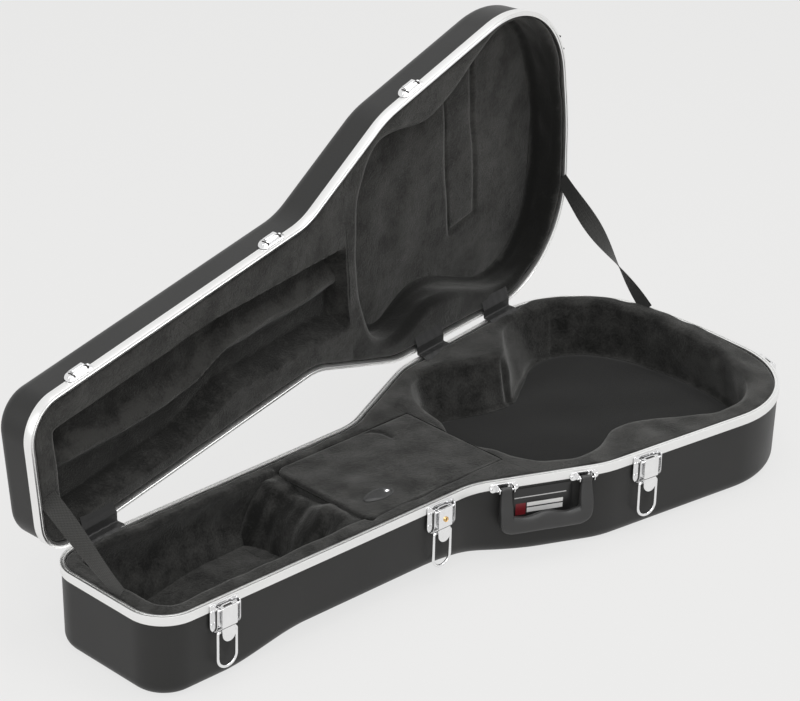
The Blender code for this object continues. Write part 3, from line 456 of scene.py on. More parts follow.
def through(points, count):
    """A closed smooth curve through points, at equal steps: each span is the cubic whose ends' slopes are
    half the step between the points on either side."""
    points = np.array(points, float)
    before, after, beyond = (np.roll(points, k, axis=0) for k in (1, -1, -2))
    s = np.linspace(0, 1, 12, endpoint=False)[None, :, None]
    start, end = (after - before)[:, None] / 2, (beyond - points)[:, None] / 2
    a, b = points[:, None], after[:, None]
    curve = a * (2 * s ** 3 - 3 * s ** 2 + 1) + b * (3 * s ** 2 - 2 * s ** 3)
    curve = curve + start * (s ** 3 - 2 * s ** 2 + s) + end * (s ** 3 - s ** 2)
    return spread(curve.reshape(-1, 2), count)


# The cavity's upper edge as the photograph shows it, a little wider than the floor and not quite even
BRIM = through([
    (0.606, 0.000), (0.612, 0.022), (0.6215, 0.045), (0.627, 0.075), (0.635, 0.100), (0.650, 0.126),
    (0.670, 0.149), (0.697, 0.162), (0.726, 0.157), (0.756, 0.146), (0.786, 0.136), (0.808, 0.131),
    (0.8225, 0.1290), (0.840, 0.138), (0.865, 0.164), (0.890, 0.188), (0.915, 0.199), (0.941, 0.202),
    (0.970, 0.198), (0.997, 0.190), (1.020, 0.173), (1.038, 0.154), (1.052, 0.128), (1.061, 0.096),
    (1.065, 0.058), (1.065, 0.000), (1.062, -0.035), (1.056, -0.068), (1.046, -0.101), (1.030, -0.134),
    (1.010, -0.158), (0.985, -0.175), (0.955, -0.1855), (0.925, -0.184), (0.895, -0.174), (0.865, -0.156),
    (0.835, -0.138), (0.805, -0.126), (0.775, -0.1225), (0.750, -0.132), (0.727, -0.1415), (0.700, -0.1455),
    (0.675, -0.143), (0.650, -0.130), (0.632, -0.109), (0.6225, -0.088), (0.6175, -0.062), (0.612, -0.044),
    (0.607, -0.022)], OUTLINE_POINTS)
FOAM_EDGE = OUTLINE + INWARD * FOAM_INSET
POCKET = rounded([(SPLIT, -0.0885), (REST_END, -0.0885), (REST_END, POCKET_LOW), (POCKET_START, POCKET_LOW),
                  (POCKET_START, POCKET_HIGH), (REST_END, POCKET_HIGH), (REST_END, 0.0900), (SPLIT, 0.0900)],
                 [0.006, 0.003, 0.020, 0.020, 0.002, 0.002], 9)


def foam_height(flat):
    """The plush's height at a place: full height, with soft edges round the cavity and the pockets. It swells
    over the rim at the back of the tail, slopes to the rim in front of the headstock and dips at the neck's
    heel."""
    u, v = flat.T
    swell = smooth((u - 0.948) / 0.035) * smooth((0.4 * (u - 0.842) + v - 0.02) / 0.07)
    slope = smooth((0.34 - u) / 0.05) * smooth((-0.03 - v) / 0.04)
    open_edge = np.clip(smooth((0.375 - u) / 0.01) + smooth(v / 0.02) * smooth((0.535 - u) / 0.02), 0.12, 1)
    heel = bell(v / 0.026) * smooth((u - 0.600) / 0.004) * smooth((0.66 - u) / 0.02)
    rim_gap = distance(flat, FOAM_EDGE)
    z = FOAM_TOP + swell * 0.0032
    z = z - fall(rim_gap, 0.006, 0.003) * (1 - 0.7 * swell) - slope * fall(rim_gap, 0.024, 0.005)
    z = z - open_edge * fall(distance(flat, POCKET), 0.006, 0.005) - fall(distance(flat, BRIM), 0.013, 0.008)
    return z - 0.016 * heel + 0.0009 * lumps(flat, 0.060, 3)


def plush(place):
    """Short pile: fine tufts laid over by a slow drift, with soft patches that are paler where the pile
    leans. A piece's attribute adds a tone by place: random patches, and painted light and painted shade."""
    lean_and_painted_light = place.node("Attribute", {"attribute_name": "lean_and_painted_light"}, out="Fac")
    drift = place.noise(14.0, out=1)
    laid = place.node("VectorMath", {"operation": "MULTIPLY_ADD"},
                      {0: drift, 1: (0.02, 0.02, 0.02), 2: place})
    tufts, fibre = laid.noise(340.0, 4.0, 0.65), laid.noise(1300.0, 2.0, 0.7)
    broad = laid.noise(34.0, 5.0, 0.66)
    height = tufts * 0.7 + fibre * 0.4 + broad * 0.5
    stops = [(0.39, (0.0085, 0.0085, 0.008, 1)), (0.63, (0.042, 0.0415, 0.0395, 1))]
    tone = place.node("ValToRGB", {"stops": stops}, {"Fac": broad * 0.62 + tufts * 0.38 + lean_and_painted_light})
    return {"Base Color": tone, "Normal": height.bump(0.7, 0.0016)}


def felted(place):
    """Flat brushed cloth: a fine even nap with hardly any patches."""
    nap = place.noise(620.0, 4.0, 0.7)
    tone = nap * 0.7 + place.noise(9.0, 3.0) * 0.3
    return {"Base Color": tone.blend((0.0075, 0.0075, 0.0075), (0.0165, 0.0165, 0.016)),
            "Normal": nap.bump(0.5, 0.0008)}


PLUSH = finish("black_plush_pile", {"Roughness": 0.95, "Sheen Weight": 0.32, "Sheen Roughness": 0.45,
                                    "Sheen Tint": (0.75, 0.75, 0.73, 1), "Specular IOR Level": 0.15}, plush)
FELT = finish("black_floor_cloth", {"Roughness": 0.95, "Sheen Weight": 0.20, "Sheen Roughness": 0.5,
                                    "Sheen Tint": (0.75, 0.75, 0.74, 1), "Specular IOR Level": 0.12}, felted)


def vertices(piece, at):
    """A piece's points in the frame that it was moved from."""
    points = np.empty(len(piece.data.vertices) * 3)
    piece.data.vertices.foreach_get("co", points)
    return (points.reshape(-1, 3) - at[:3, 3]) @ at[:3, :3]


def dress(piece, body, nodes, lean_and_painted_light=None, at=SHUT):
    """A padded plush piece stands for its foam. Its attribute is a tone by place in the shut case, with
    painted light and painted shade on some pieces.
    """
    if lean_and_painted_light:
        u, v, z = (vertices(piece, at) + (ORIGIN, 0, 0)).T
        piece.data.attributes.new("lean_and_painted_light", "FLOAT", "POINT").data.foreach_set("value", lean_and_painted_light(u, v, z))
    belong(piece, body, "black_plush", *nodes)


angles = np.linspace(-math.pi, math.pi, RAYS, endpoint=False)
rays = np.column_stack([np.cos(angles), np.sin(angles)])


def fan(centre, radius):
    """A closed curve round a centre: how far it lies out along each ray."""
    return np.array(centre) + rays * np.broadcast_to(radius, len(rays))[:, None]


def fan_rows(centre, *steps):
    """Rows of points round a centre, from steps of a radius and a height."""
    return [lifted(fan(centre, radius), z) for radius, z in steps]


def coved(centre, radius, cove, top, drop):
    """Rows that turn in from a wall to a floor: a quarter turn, in by one size and down by another."""
    return fan_rows(centre, *[(radius - cove * (1 - math.cos(angle)), top - drop * math.sin(angle))
                              for angle in np.linspace(0, math.pi / 2, 6)[1:]])


def body_reach(centre, inset):
    """The body foam's outer reach: the rim's outline at an inset, cut off square at its face to the neck."""
    out = reach(OUTLINE + INWARD * inset, centre, angles)
    cut = (BODY_FACE - centre[0]) / np.minimum(rays[:, 0], -1e-6)
    return np.where(rays[:, 0] < -1e-3, np.minimum(out, cut), out)


def between(first, last, parts, height):
    """Rows from one curve to another by parts of the way, each point at the height of its place."""
    return [lifted(flat, height(flat)) for flat in (first + (last - first) * part for part in parts)]


cavity = reach(guitar(CAVITY), BODY_MIDDLE, angles)
brim = reach(BRIM, BODY_MIDDLE, angles)
outer = fan(BODY_MIDDLE, body_reach(BODY_MIDDLE, FOAM_INSET))
rows = [lifted(fan(BODY_MIDDLE, body_reach(BODY_MIDDLE, inset)), up) for inset, up in FOAM_HEEL]
rows += [lifted(outer, FOAM_SHOULDER)] + between(outer, fan(BODY_MIDDLE, brim), eased(0, 1, 34), foam_height)
# The cover is tucked deep into the waist behind, between two soft folds, with one sewn seam in the lower bout
waist_way = (angles - math.atan2(0.129, -0.0195)) * 0.130
seam_way = (angles - math.atan2(0.190, 0.150)) * 0.240
tuck = (0.0048 * bell(waist_way / 0.0050) - 0.0024 * bell((np.abs(waist_way) - 0.0120) / 0.0060)
        + 0.0036 * bell(seam_way / 0.0026))
edge_height = rows[-1][:, 2]
COVE_TOP, COVE = FLOOR_TOP + 0.008, 0.007
for part in np.linspace(0, 1, 16)[1:]:
    z = edge_height + (COVE_TOP - edge_height) * part
    bulge = 0.0026 * lumps(raised(fan(BODY_MIDDLE, cavity), z * 0.4), 0.075, 8) + 0.004 - tuck
    bulge = bulge * math.sin(math.pi * min(part, 0.5)) * (1 - 0.5 * part)
    out_by = brim + (cavity - brim) * part ** 1.5 - bulge
    rows.append(lifted(fan(BODY_MIDDLE, out_by), z))
rows += coved(BODY_MIDDLE, out_by, COVE, COVE_TOP, 0.0075)
rows += fan_rows(BODY_MIDDLE, (out_by - COVE, FLOOR_TOP - 0.002), (cavity - 0.001, FLOOR_TOP - 0.006),
                 (cavity, FOAM_FOOT))
body_bolster = surface("body_bolster", rows, PLUSH, closed=True)
# The plush's tone: random patches on the top, and painted light on a band along the front of the top.
dress(body_bolster, "base", ["body_bolster_front", "body_bolster_back"], lean_and_painted_light=lambda u, v, z:
      0.045 * smooth((z - FOAM_TOP + 0.012) / 0.010) * lumps(np.column_stack([u, v]), 0.055, 37)
      + 0.035 * smooth((-0.10 - v) / 0.02) * smooth((z - 0.10) / 0.01))

FLOOR_GAP = 0.0008
edge = cavity - FLOOR_GAP
rows = fan_rows(BODY_MIDDLE, (0, FOAM_FOOT), (edge, FOAM_FOOT), (edge, FLOOR_TOP - 0.007))
for part in [0.985, *np.linspace(0.97, 0, 30)]:
    flat = fan(BODY_MIDDLE, edge * part)
    lump = 0.0005 * lumps(flat, 0.12, 5) * (part < 0.96)
    rows.append(lifted(flat, FLOOR_TOP - 0.0015 * (part > 0.98) + lump))
dress(surface("body_floor", rows, FELT), "base", ["body_floor_pad"])

# Stations down one side of the pockets, a fan round the head, and back up the other side
steps = np.unique(np.concatenate([np.arange(HEAD_MIDDLE[0], SPLIT, 0.0032), [SPLIT],
                                  REST_END + np.linspace(-0.012, 0.012, 21)]))
turns = np.linspace(-math.pi / 2, math.pi / 2, 70)[1:-1]
fan_rays = np.column_stack([-np.cos(turns), np.sin(turns)])


def side_half(curve, u, way=1):
    """A curve's half width at stations, from its part on one side."""
    part = curve[curve[:, 1] * way > 0.001]
    part = part[np.argsort(part[:, 0], kind="stable")]
    return np.interp(u, part[:, 0], part[:, 1] * way)


def horseshoe(curve):
    """A curve sampled along the horseshoe: across the case on its sides, along rays round the head."""
    low, high = side_half(curve, steps, -1), side_half(curve, steps, 1)
    arc = reach(spread(curve, 2400), HEAD_MIDDLE, np.arctan2(fan_rays[:, 1], fan_rays[:, 0]))
    return np.vstack([np.column_stack([steps, -low])[::-1], np.array(HEAD_MIDDLE) + fan_rays * arc[:, None],
                      np.column_stack([steps, high])])


def capped(rings):
    """Rings with one more at each end, drawn to a point in its middle, which closes the form."""
    ends = rings[[0, -1]].mean(axis=1, keepdims=True).repeat(rings.shape[1], 1)
    return np.concatenate([ends[:1], rings, ends[1:]])


outside, inside = horseshoe(FOAM_EDGE), horseshoe(POCKET)
under = rise(outside[:, 0])
rows = [lifted(horseshoe(OUTLINE + INWARD * inset), under + up) for inset, up in FOAM_HEEL]
rows += [lifted(outside, FOAM_SHOULDER)] + between(outside, inside, eased(0, 1, 20), foam_height)
edge_height = rows[-1][:, 2]
hollow = smooth((0.345 - inside[:, 0]) / 0.05) * smooth((inside[:, 1] - 0.02) / 0.05)
for part in np.linspace(0, 1, 20)[1:]:
    z = edge_height + (under + FOAM_FOOT + 0.002 - edge_height) * part
    set_back = 0.006 * math.sin(math.pi * min(part / 0.7, 1)) - 0.013 * smooth((part - 0.45) / 0.5)
    ripple = 0.0020 * lumps(raised(inside, z), 0.06, 9) * math.sin(math.pi * min(part, 0.5))
    rows.append(lifted(inside, z) + np.outer(hollow * (set_back + ripple), (0, 1, 0)))
neck_bolster = surface("neck_bolster", capped(np.moveaxis(np.array(rows), 0, 1)), PLUSH)
# The plush's tone: painted light on the strip that slopes to the front rim in front of the headstock, and
# painted shade on the upper part of the pockets' back wall.
dress(neck_bolster, "base", ["neck_bolster_front", "neck_bolster_back"], lean_and_painted_light=lambda u, v, z:
      0.05 * smooth((0.30 - u) / 0.03) * smooth((-0.06 - v) / 0.01) * smooth((0.1125 - z) / 0.002)
      - 0.075 * smooth((v - 0.03) / 0.03) * smooth((0.31 - u) / 0.03) * smooth((z - 0.060) / 0.02)
      * smooth((0.109 - z) / 0.004))


def block(name, flat, top, foot, at=SHUT):
    """A plush block over a grid of stations and sides: its top and foot are heights there, and its ends are
    drawn together to a line, which closes them flat."""
    places = flat.reshape(-1, 2)
    over, below = (lifted(places, height(places)).reshape(*flat.shape[:2], 3) for height in (top, foot))
    loop = np.concatenate([over, below[:, ::-1]], axis=1)
    ends = loop[[0, -1]]
    ends[..., 2] = (ends[..., 2] + ends[:, ::-1, 2]) / 2
    return surface(name, np.concatenate([ends[:1], loop, ends[1:]]), PLUSH, at)


def pocket_grid(start, end, rows, columns):
    """A grid of stations and sides over a stretch of the neck's pocket."""
    us, vs = eased(start, end, rows), eased(POCKET_LOW + 0.0005, POCKET_HIGH - 0.0005, columns)
    return np.stack(np.meshgrid(us, vs, indexing="ij"), axis=-1)


def base_foot(flat):
    """The height of the base foam's foot over the raised underside."""
    return rise(flat[:, 0]) + FOAM_FOOT


def head_height(flat):
    """The headstock's floor: flat, a little lower at its end."""
    u = flat[:, 0]
    return rise(u) + 0.0153 - 0.0012 * smooth((0.045 - u) / 0.012) + 0.0006 * lumps(flat, 0.06, 11)


def rest_height(flat):
    """The neck rest: gathered plush that rises from the headstock's floor to the compartment's edge, hollowed
    in the middle for the neck and rumpled into soft folds and puffs."""
    u, v = flat.T
    gather = 0.0036 * lumps(flat * (0.4, 1.0), 0.055, 14) + 0.0010 * lumps(flat * (0.7, 1.0), 0.026, 12)
    foot = 0.297 + 0.010 * smooth((0.08 - v) / 0.03)
    t = np.clip((u + gather - foot) / (0.3550 - foot), 0, 1)
    hollow = 0.010 * np.exp(-((v - 0.020) / 0.030) ** 4) * smooth((t - 0.25) / 0.4)
    puff = 0.0045 * bell((u - 0.349) / 0.012) * bell((v + 0.028) / 0.026)
    z = 0.0325 + 0.0745 * np.sin(t * math.pi / 2) ** 0.75 - hollow + puff
    return z + 0.0008 * lumps(flat, 0.030, 13) * smooth((t - 0.1) / 0.2)


head_floor = block("headstock_floor", pocket_grid(0.0325, 0.3000, 90, 60), head_height, base_foot)
dress(head_floor, "base", ["headstock_floor_pad"])
neck_rest = block("neck_rest_block", pocket_grid(0.2900, 0.3617, 110, 120), rest_height, base_foot)
# The plush's tone: darker overall with random patches, and painted light on the top of the rest.
dress(neck_rest, "base", ["neck_rest"], lean_and_painted_light=lambda u, v, z:
      -0.075 + 0.05 * lumps(np.column_stack([u, v * 1.4]), 0.030, 45) + 0.10 * smooth((z - 0.101) / 0.008))


# Accessory compartment: a box lined with plush between the neck rest and the body, under a padded lid that
# turns on its cloth, with a leatherette tab held by a snap.
BOX_FOOT, BOX_RIM, BOX_FLOOR, BOX_WALL = 0.0215, 0.1054, 0.0252, 0.003
PAD_UNDER, PAD_TOP = 0.1066, 0.1131
CREASE = np.array([(0.515, 0.0885), (0.527, 0.083), (0.534, 0.070), (0.536, 0.052)])
TAB_SIDE, TAB_FACE = -0.051, 0.1162


def oblong(low, high, radius, count=160, far=None):
    """A clockwise rectangle with rounded corners between two corners. The two at its high end may differ."""
    (a0, b0), (a1, b1) = low, high
    middle = (a0 + a1) / 2
    corners = [(middle, b0), (a0, b0), (a0, b1), (a1, b1), (a1, b0), (middle, b0)]
    return spread(rounded(corners, [radius] * 2 + [far or radius] * 2, 10)[:-1], count)


def drawn(curve, part):
    """A closed curve drawn in towards its middle, to a part of its size."""
    middle = (curve.max(axis=0) + curve.min(axis=0)) / 2
    return middle + (curve - middle) * part


def inset_rows(curve, steps):
    """Rows of a closed curve moved in and set at heights."""
    return [lifted(curve + inwards(curve) * inset, z) for inset, z in steps]


plan = oblong((0.3623, -0.0877), (0.5997, 0.0877), 0.004)
inner_plan = plan + inwards(plan) * BOX_WALL
rows = [lifted(drawn(plan, 0), BOX_FOOT), lifted(drawn(plan, 0.985), BOX_FOOT)]
rows += inset_rows(plan, [(0, BOX_FOOT + 0.0015), (0, BOX_RIM - 0.0006), (0.0008, BOX_RIM),
                          (0.0022, BOX_RIM)])
rows += [lifted(inner_plan, z) for z in [BOX_RIM - 0.0008, *np.linspace(0.098, 0.030, 10)]]
rows += [lifted(drawn(inner_plan, part), BOX_FLOOR - 0.0007 * part) for part in (0.97, 0.8, 0.6, 0.4, 0.2, 0)]
dress(surface("accessory_box_lined", rows, PLUSH), "base", ["accessory_box"])

plan = oblong((0.3600, -0.0882), (0.5999, 0.0880), 0.016, 300, 0.003)
rows = [lifted(drawn(plan, 0), PAD_UNDER)] + inset_rows(plan, [
    (0.003, PAD_UNDER), (0.0006, 0.1074), (0, 0.1088), (0.0001, 0.1112), (0.0009, 0.1124), (0.0026, 0.1130)])
for part in [*np.linspace(0.955, 0.1, 60), 0.05, 0]:
    flat = drawn(plan, part)
    crease = 0.0022 * bell(distance(flat, CREASE, closed=False) / 0.0026)
    swell = 0.0006 * (1 - part ** 4) + 0.0007 * lumps(flat, 0.06, 21) * min((1 - part) * 12, 1)
    rows.append(lifted(flat, PAD_TOP + swell - crease))
dress(surface("accessory_lid_pad", rows, PLUSH), "accessory_lid", ["accessory_lid"])


def leather(place, pale):
    """Black leatherette: small wrinkled cells, with a little wear in the gloss."""
    cells = place.node("TexVoronoi", {"feature": "DISTANCE_TO_EDGE"}, {"Vector": place, "Scale": 900.0})
    soft = place.noise(120.0, 3.0)
    return {"Base Color": soft.blend([pale] * 3, [pale * 0.55] * 3), "Roughness": soft * 0.2 + 0.36,
            "Normal": (cells * 1.6 + soft * 0.4).bump(0.35, 0.0004)}


def plated(place):
    """Bright nickel-chrome: faint smears in the gloss and the slow waves of pressed sheet."""
    smear = place.noise(140.0, 4.0)
    return {"Base Color": smear.blend((0.93, 0.93, 0.935), (0.84, 0.84, 0.845)),
            "Roughness": smear * 0.16 + 0.07, "Normal": place.noise(260.0, 1.0).bump(0.12, 0.0004)}


LEATHER = finish("black_leatherette", {"Specular IOR Level": 0.5}, lambda place: leather(place, 0.050))
CHROME = finish("bright_chrome", {"Metallic": 1.0}, plated)


def circle(count):
    """Points round a circle of radius 1."""
    angle = np.linspace(0, 2 * math.pi, count, endpoint=False)
    return np.column_stack([np.cos(angle), np.sin(angle)])


def turned(place, profile, count=24):
    """A turned form at a place in the frame of its fitting: rings of a profile of radius and height."""
    return np.array([raised(np.array(place[:2]) + r * circle(count), place[2] + h) for r, h in profile])


x, y = circle(96).T
leaf = np.column_stack([0.411 + 0.0240 * x, TAB_SIDE - 0.0118 * y * (1 + 0.18 * x)])
rows = [lifted(drawn(leaf, part), z) for part, z in (
    (0, 0.1144), (0.97, 0.1143), (1, 0.1147), (0.985, 0.1154), (0.95, 0.1158), (0.90, 0.1159), (0.87, 0.1156),
    (0.84, 0.1156), (0.81, 0.1160), (0.6, TAB_FACE), (0.3, TAB_FACE), (0, TAB_FACE))]
belong(surface("pull_tab_leaf", rows, LEATHER), "accessory_lid", "black_vinyl", "pull_tab")
snap_dome = turned((0.426 - ORIGIN, TAB_SIDE, 0.1159), [
    (0, 0), (0.0038, 0), (0.0038, 0.0004), (0.0035, 0.0008), (0.0030, 0.0009), (0.0028, 0.0012),
    (0.0020, 0.0017), (0.0010, 0.0019), (0, 0.0019)])
belong(surface("pull_tab_snap_cap", snap_dome, CHROME), "accessory_lid", "chrome", "pull_tab_snap")


# Lid lining: the same plush over foam. Two bolsters leave a guitar-shaped recess that runs out to the walls
# round the lower bout, its panel has a tucked fold, and the neck's block is hollowed with a long ridge in it.
RECESS = guitar((0.625, (0.700, 0.155), (0.780, 0.139), (0.965, 0.205), 1.081))
LID_FACE, LID_PANEL, LID_FOOT, LID_SHOULDER = LID_RIM + 0.004, 0.1647, TOP - FOAM_FOOT, 0.140
PANEL_FOOT, LID_COVE, LID_BACK_INSET = TOP - 0.0040, 0.010, 0.0225
FOLD = np.array([(0.877, -0.115), (0.877, 0.094), (0.940, 0.091), (0.940, -0.150)])
NECK_COLUMNS = 96


def lid_height(flat):
    """The lid plush's face in the closed lid: it falls away at the rim and round the recess."""
    z = LID_FACE + fall(distance(flat, FOAM_EDGE), 0.006, 0.004) + fall(distance(flat, RECESS), 0.013, 0.013)
    return z + 0.0009 * lumps(flat, 0.08, 31)


def panel_height(flat):
    """The recess panel: a strip across it lies a little deeper between two tucked creases."""
    u, v = flat.T
    strip = smooth((u - 0.876) / 0.003) * smooth((0.941 - u) / 0.003) * smooth((0.094 - v) / 0.003)
    crease = bell(distance(flat, FOLD, closed=False) / 0.0036)
    return LID_PANEL + 0.0016 * strip + 0.0022 * crease + 0.0009 * lumps(flat, 0.09, 35)


recess = reach(RECESS, LID_MIDDLE, angles)
inner = fan(LID_MIDDLE, recess)
outer = fan(LID_MIDDLE, body_reach(LID_MIDDLE, FOAM_INSET))
rows = [lifted(fan(LID_MIDDLE, body_reach(LID_MIDDLE, inset)), TOP - up) for inset, up in FOAM_HEEL]
rows += [lifted(outer, LID_SHOULDER)] + between(outer, inner, eased(0, 1, 34), lid_height)
edge_height = rows[-1][:, 2]
for part in np.linspace(0, 1, 9)[1:]:
    z = edge_height + (LID_PANEL - LID_COVE - edge_height) * part
    bulge = 0.0012 * lumps(raised(inner, z), 0.05, 38) * math.sin(math.pi * part)
    rows.append(lifted(fan(LID_MIDDLE, recess - bulge), z))
rows += coved(LID_MIDDLE, recess, LID_COVE, LID_PANEL - LID_COVE, -0.0095)
rows += fan_rows(LID_MIDDLE, (recess - LID_COVE, LID_PANEL + 0.002), (recess - 0.001, LID_PANEL + 0.004),
                 (np.minimum(recess, body_reach(LID_MIDDLE, LID_BACK_INSET)), LID_FOOT))
lid_bolster = surface("lid_bolster", rows, PLUSH, OPEN, closed=True)
# The plush's tone: painted light on the latch side, which is uppermost in the open lid, and painted shade on
# the hinge side's waist and along the recess's edge.
dress(lid_bolster, "lid", ["lid_bolster_front", "lid_bolster_back"], at=OPEN, lean_and_painted_light=lambda u, v, z:
      0.03 * smooth((-0.12 - v) / 0.03) - 0.085 * smooth((v - 0.100) / 0.03) * smooth((0.95 - u) / 0.05)
      - 0.20 * bell(distance(np.column_stack([u, v]), RECESS) / 0.006))

edge = recess - FLOOR_GAP
back_edge = np.minimum(edge, reach(OUTLINE + INWARD * LID_BACK_INSET, LID_MIDDLE, angles))
rows = fan_rows(LID_MIDDLE, (0, PANEL_FOOT), (back_edge, PANEL_FOOT), (edge, LID_PANEL + 0.004))
for part in [0.985, *np.linspace(0.97, 0, 110)]:
    flat = fan(LID_MIDDLE, edge * part)
    rows.append(lifted(flat, panel_height(flat)))
# The plush's tone: paler overall with random patches, and painted shade towards the tail wall.
dress(surface("lid_panel", rows, PLUSH, OPEN), "lid", ["lid_body_panel"], at=OPEN, lean_and_painted_light=lambda u, v, z:
      0.035 + 0.035 * lumps(np.column_stack([u, v]), 0.16, 36) - 0.05 * smooth((u - 1.01) / 0.05))


def neck_lines(u):
    """The sides of the neck's pocket at stations, the latch side's first, and the ridge's crest between."""
    front = np.interp(u, [0.05, 0.34, 0.43, 0.59], [-0.062, -0.063, -0.054, -0.040])
    back = np.interp(u, [0.05, 0.27, 0.36, 0.54, 0.60], [0.084, 0.088, 0.063, 0.080, 0.086])
    crest = np.interp(u, [0.05, 0.15, 0.25, 0.31, 0.37, 0.48, 0.58],
                      [0.004, 0.016, 0.024, 0.020, 0.002, 0.012, 0.016])
    return front, back, crest


def neck_painted_light(u, v, z):
    """Painted light on the neck pad: a painted highlight along the ridge and on the border in front of the
    pocket, and painted shade in the hollows beside the ridge.
    """
    front, back, crest = neck_lines(u)
    wave = 0.004 * lumps(u[:, None], 0.09, 44)
    pale = bell((v - crest + 0.007 + wave) / 0.0095)
    behind = smooth((v - crest - wave) / 0.010) * smooth((back - v) / 0.014)
    before = smooth((crest - 0.020 - v) / 0.010) * smooth((v - front) / 0.010)
    inside = smooth((u - 0.045) / 0.02) * smooth((0.594 - u) / 0.01)
    return inside * (0.14 * pale - 0.12 * behind - 0.10 * before) + 0.025 * smooth((front - v) / 0.006)


def neck_face(flat):
    """The lid's neck block: a pocket along it with soft sides, and a ridge along the pocket's middle."""
    u, v = flat.T
    front, back, crest = neck_lines(u)
    inside = smooth((u - 0.040) / 0.016) * smooth((0.596 - u) / 0.008)
    pocket = smooth((v - front) / 0.012) * smooth((back - v) / 0.016) * inside
    ridge = bell((v - crest) / np.where(v < crest, 0.016, 0.010)) * smooth((u - 0.050) / 0.03)
    step = 0.006 * smooth((u - 0.36) / 0.03) * smooth((crest - v) / 0.01)
    z = LID_FACE + fall(distance(flat, FOAM_EDGE), 0.006, 0.004) + pocket * (0.033 - 0.017 * ridge - step)
    return z + (0.0007 + 0.0008 * pocket * ridge) * lumps(flat, 0.08, 41)


def neck_back(flat):
    """The neck block's back: against the lid's top, and rounded at the sides to clear the shell's fillet."""
    return LID_FOOT - fall(distance(flat, OUTLINE + INWARD * 0.0069), 0.015, 0.015)


us = np.concatenate([np.linspace(0.0072, 0.06, 24)[:-1], np.linspace(0.06, SPLIT, 150)])
half = side_half(FOAM_EDGE, us)
half[0] = half[1] - 0.004
share = np.sin(np.linspace(-math.pi / 2, math.pi / 2, NECK_COLUMNS))
flat = np.stack([np.repeat(us[:, None], NECK_COLUMNS, 1), share * half[:, None]], axis=-1)
lid_neck = block("lid_neck_block", flat, neck_face, neck_back, OPEN)
dress(lid_neck, "lid", ["lid_neck_pad"], lean_and_painted_light=neck_painted_light, at=OPEN)


# Hinges: three steel hinges on the back walls, kept as they are, each under a flap of black vinyl that is
# tucked behind the two linings.
FLAP_WIDE, FLAP_THICK = 0.060, 0.0008


def bent(path, thick, low, high, count=2):
    """A sheet bent along a path and carried across its width: the path moved to both sides by half the
    sheet's thickness, and drawn to its middle line at both ends to close it."""
    path = np.array(path, float)
    step = np.gradient(path, axis=0)
    step /= np.linalg.norm(step, axis=1)[:, None]
    square = np.column_stack([-step[:, 1], step[:, 0]]) * thick / 2
    square[[0, -1]] *= 0.4
    edge = min(thick / 2, (high - low) / 4)
    places = [(low, 0.0), (low, 0.6)] + [(w, 1.0) for w in np.linspace(low + edge, high - edge, count)]
    return np.array([np.insert(np.vstack([path + square * s, (path - square * s)[::-1]]), 0, w, axis=1)
                     for w, s in places + [(high, 0.6), (high, 0.0)]])


for name, node in frame["nodes"].items():
    if name.startswith(("hinge_leaf", "hinge_pin")):
        for place in node.material_slots:
            place.material = CHROME

VINYL = finish("black_vinyl_cloth", {"Specular IOR Level": 0.5}, lambda place: leather(place, 0.022))
fold = rounded([(-0.0245, -0.0042), (-0.0190, -0.0022), (-0.0125, 0.0009), (-0.0022, 0.0009),
                (-0.0019, 0.0125), (0.0012, 0.0200), (0.0040, 0.0285)],
               [0.010, 0.006, 0.0022, 0.006, 0.010], 8)
for number, station in enumerate((0.0945, 0.759, 0.913), 1):
    at = np.eye(4)
    at[:3, :3] = np.column_stack([along, (-along[1], along[0], 0), (0, 0, 1)])
    at[:3, 3] = (station - ORIGIN, hinge_side(station), BASE_DEPTH)
    cloth = bent(fold, FLAP_THICK, -FLAP_WIDE / 2, FLAP_WIDE / 2, 24)
    cloth[..., 2] += 0.0003 * np.sin(cloth[..., 0] * 400 + number)
    flap = surface(f"hinge_flap_cloth_{number}", cloth, VINYL, at)
    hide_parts(f"hinge_flap_{number}")
    low, high = moved(np.array([(0, -0.0050, 0.0), (0, -0.0015, 0.0060)]), at)
    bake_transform(flap)


# Stay straps: 25 mm black webbing from the base's end walls to the lid's, tucked in behind the linings. They
# stop the lid just short of upright, and the tail one has half a turn in it.
STRAP_WIDE, STRAP_THICK, TUCK, TUCK_DEEP, HEAD_TWIST = 0.025, 0.0012, 0.016, 0.0118, math.radians(-50)
STRAP_RINGS, STRAP_ROUND = 90, 40
RIBS_ACROSS, STEPS_ALONG = 56.55, 2.417


def webbing(place):
    """Plain woven webbing in its own map: warp ribs along it, crossed by the weft's fine steps."""
    wide, long = place.split()
    warp, weft = wide.maths("SINE", wide * RIBS_ACROSS), long.maths("SINE", long * STEPS_ALONG)
    weave = warp * weft
    return {"Base Color": (weave * 0.5 + 0.5).blend((0.010, 0.010, 0.0095), (0.060, 0.060, 0.057)),
            "Normal": (weave * 0.5 + warp * 0.3).bump(0.6, 0.0006)}


def chart(piece, name, places):
    """Gives a piece its own map: two numbers for each of its points."""
    index = np.empty(len(piece.data.loops), int)
    piece.data.loops.foreach_get("vertex_index", index)
    piece.data.uv_layers.new(name=name).data.foreach_set("uv", places[index].ravel())


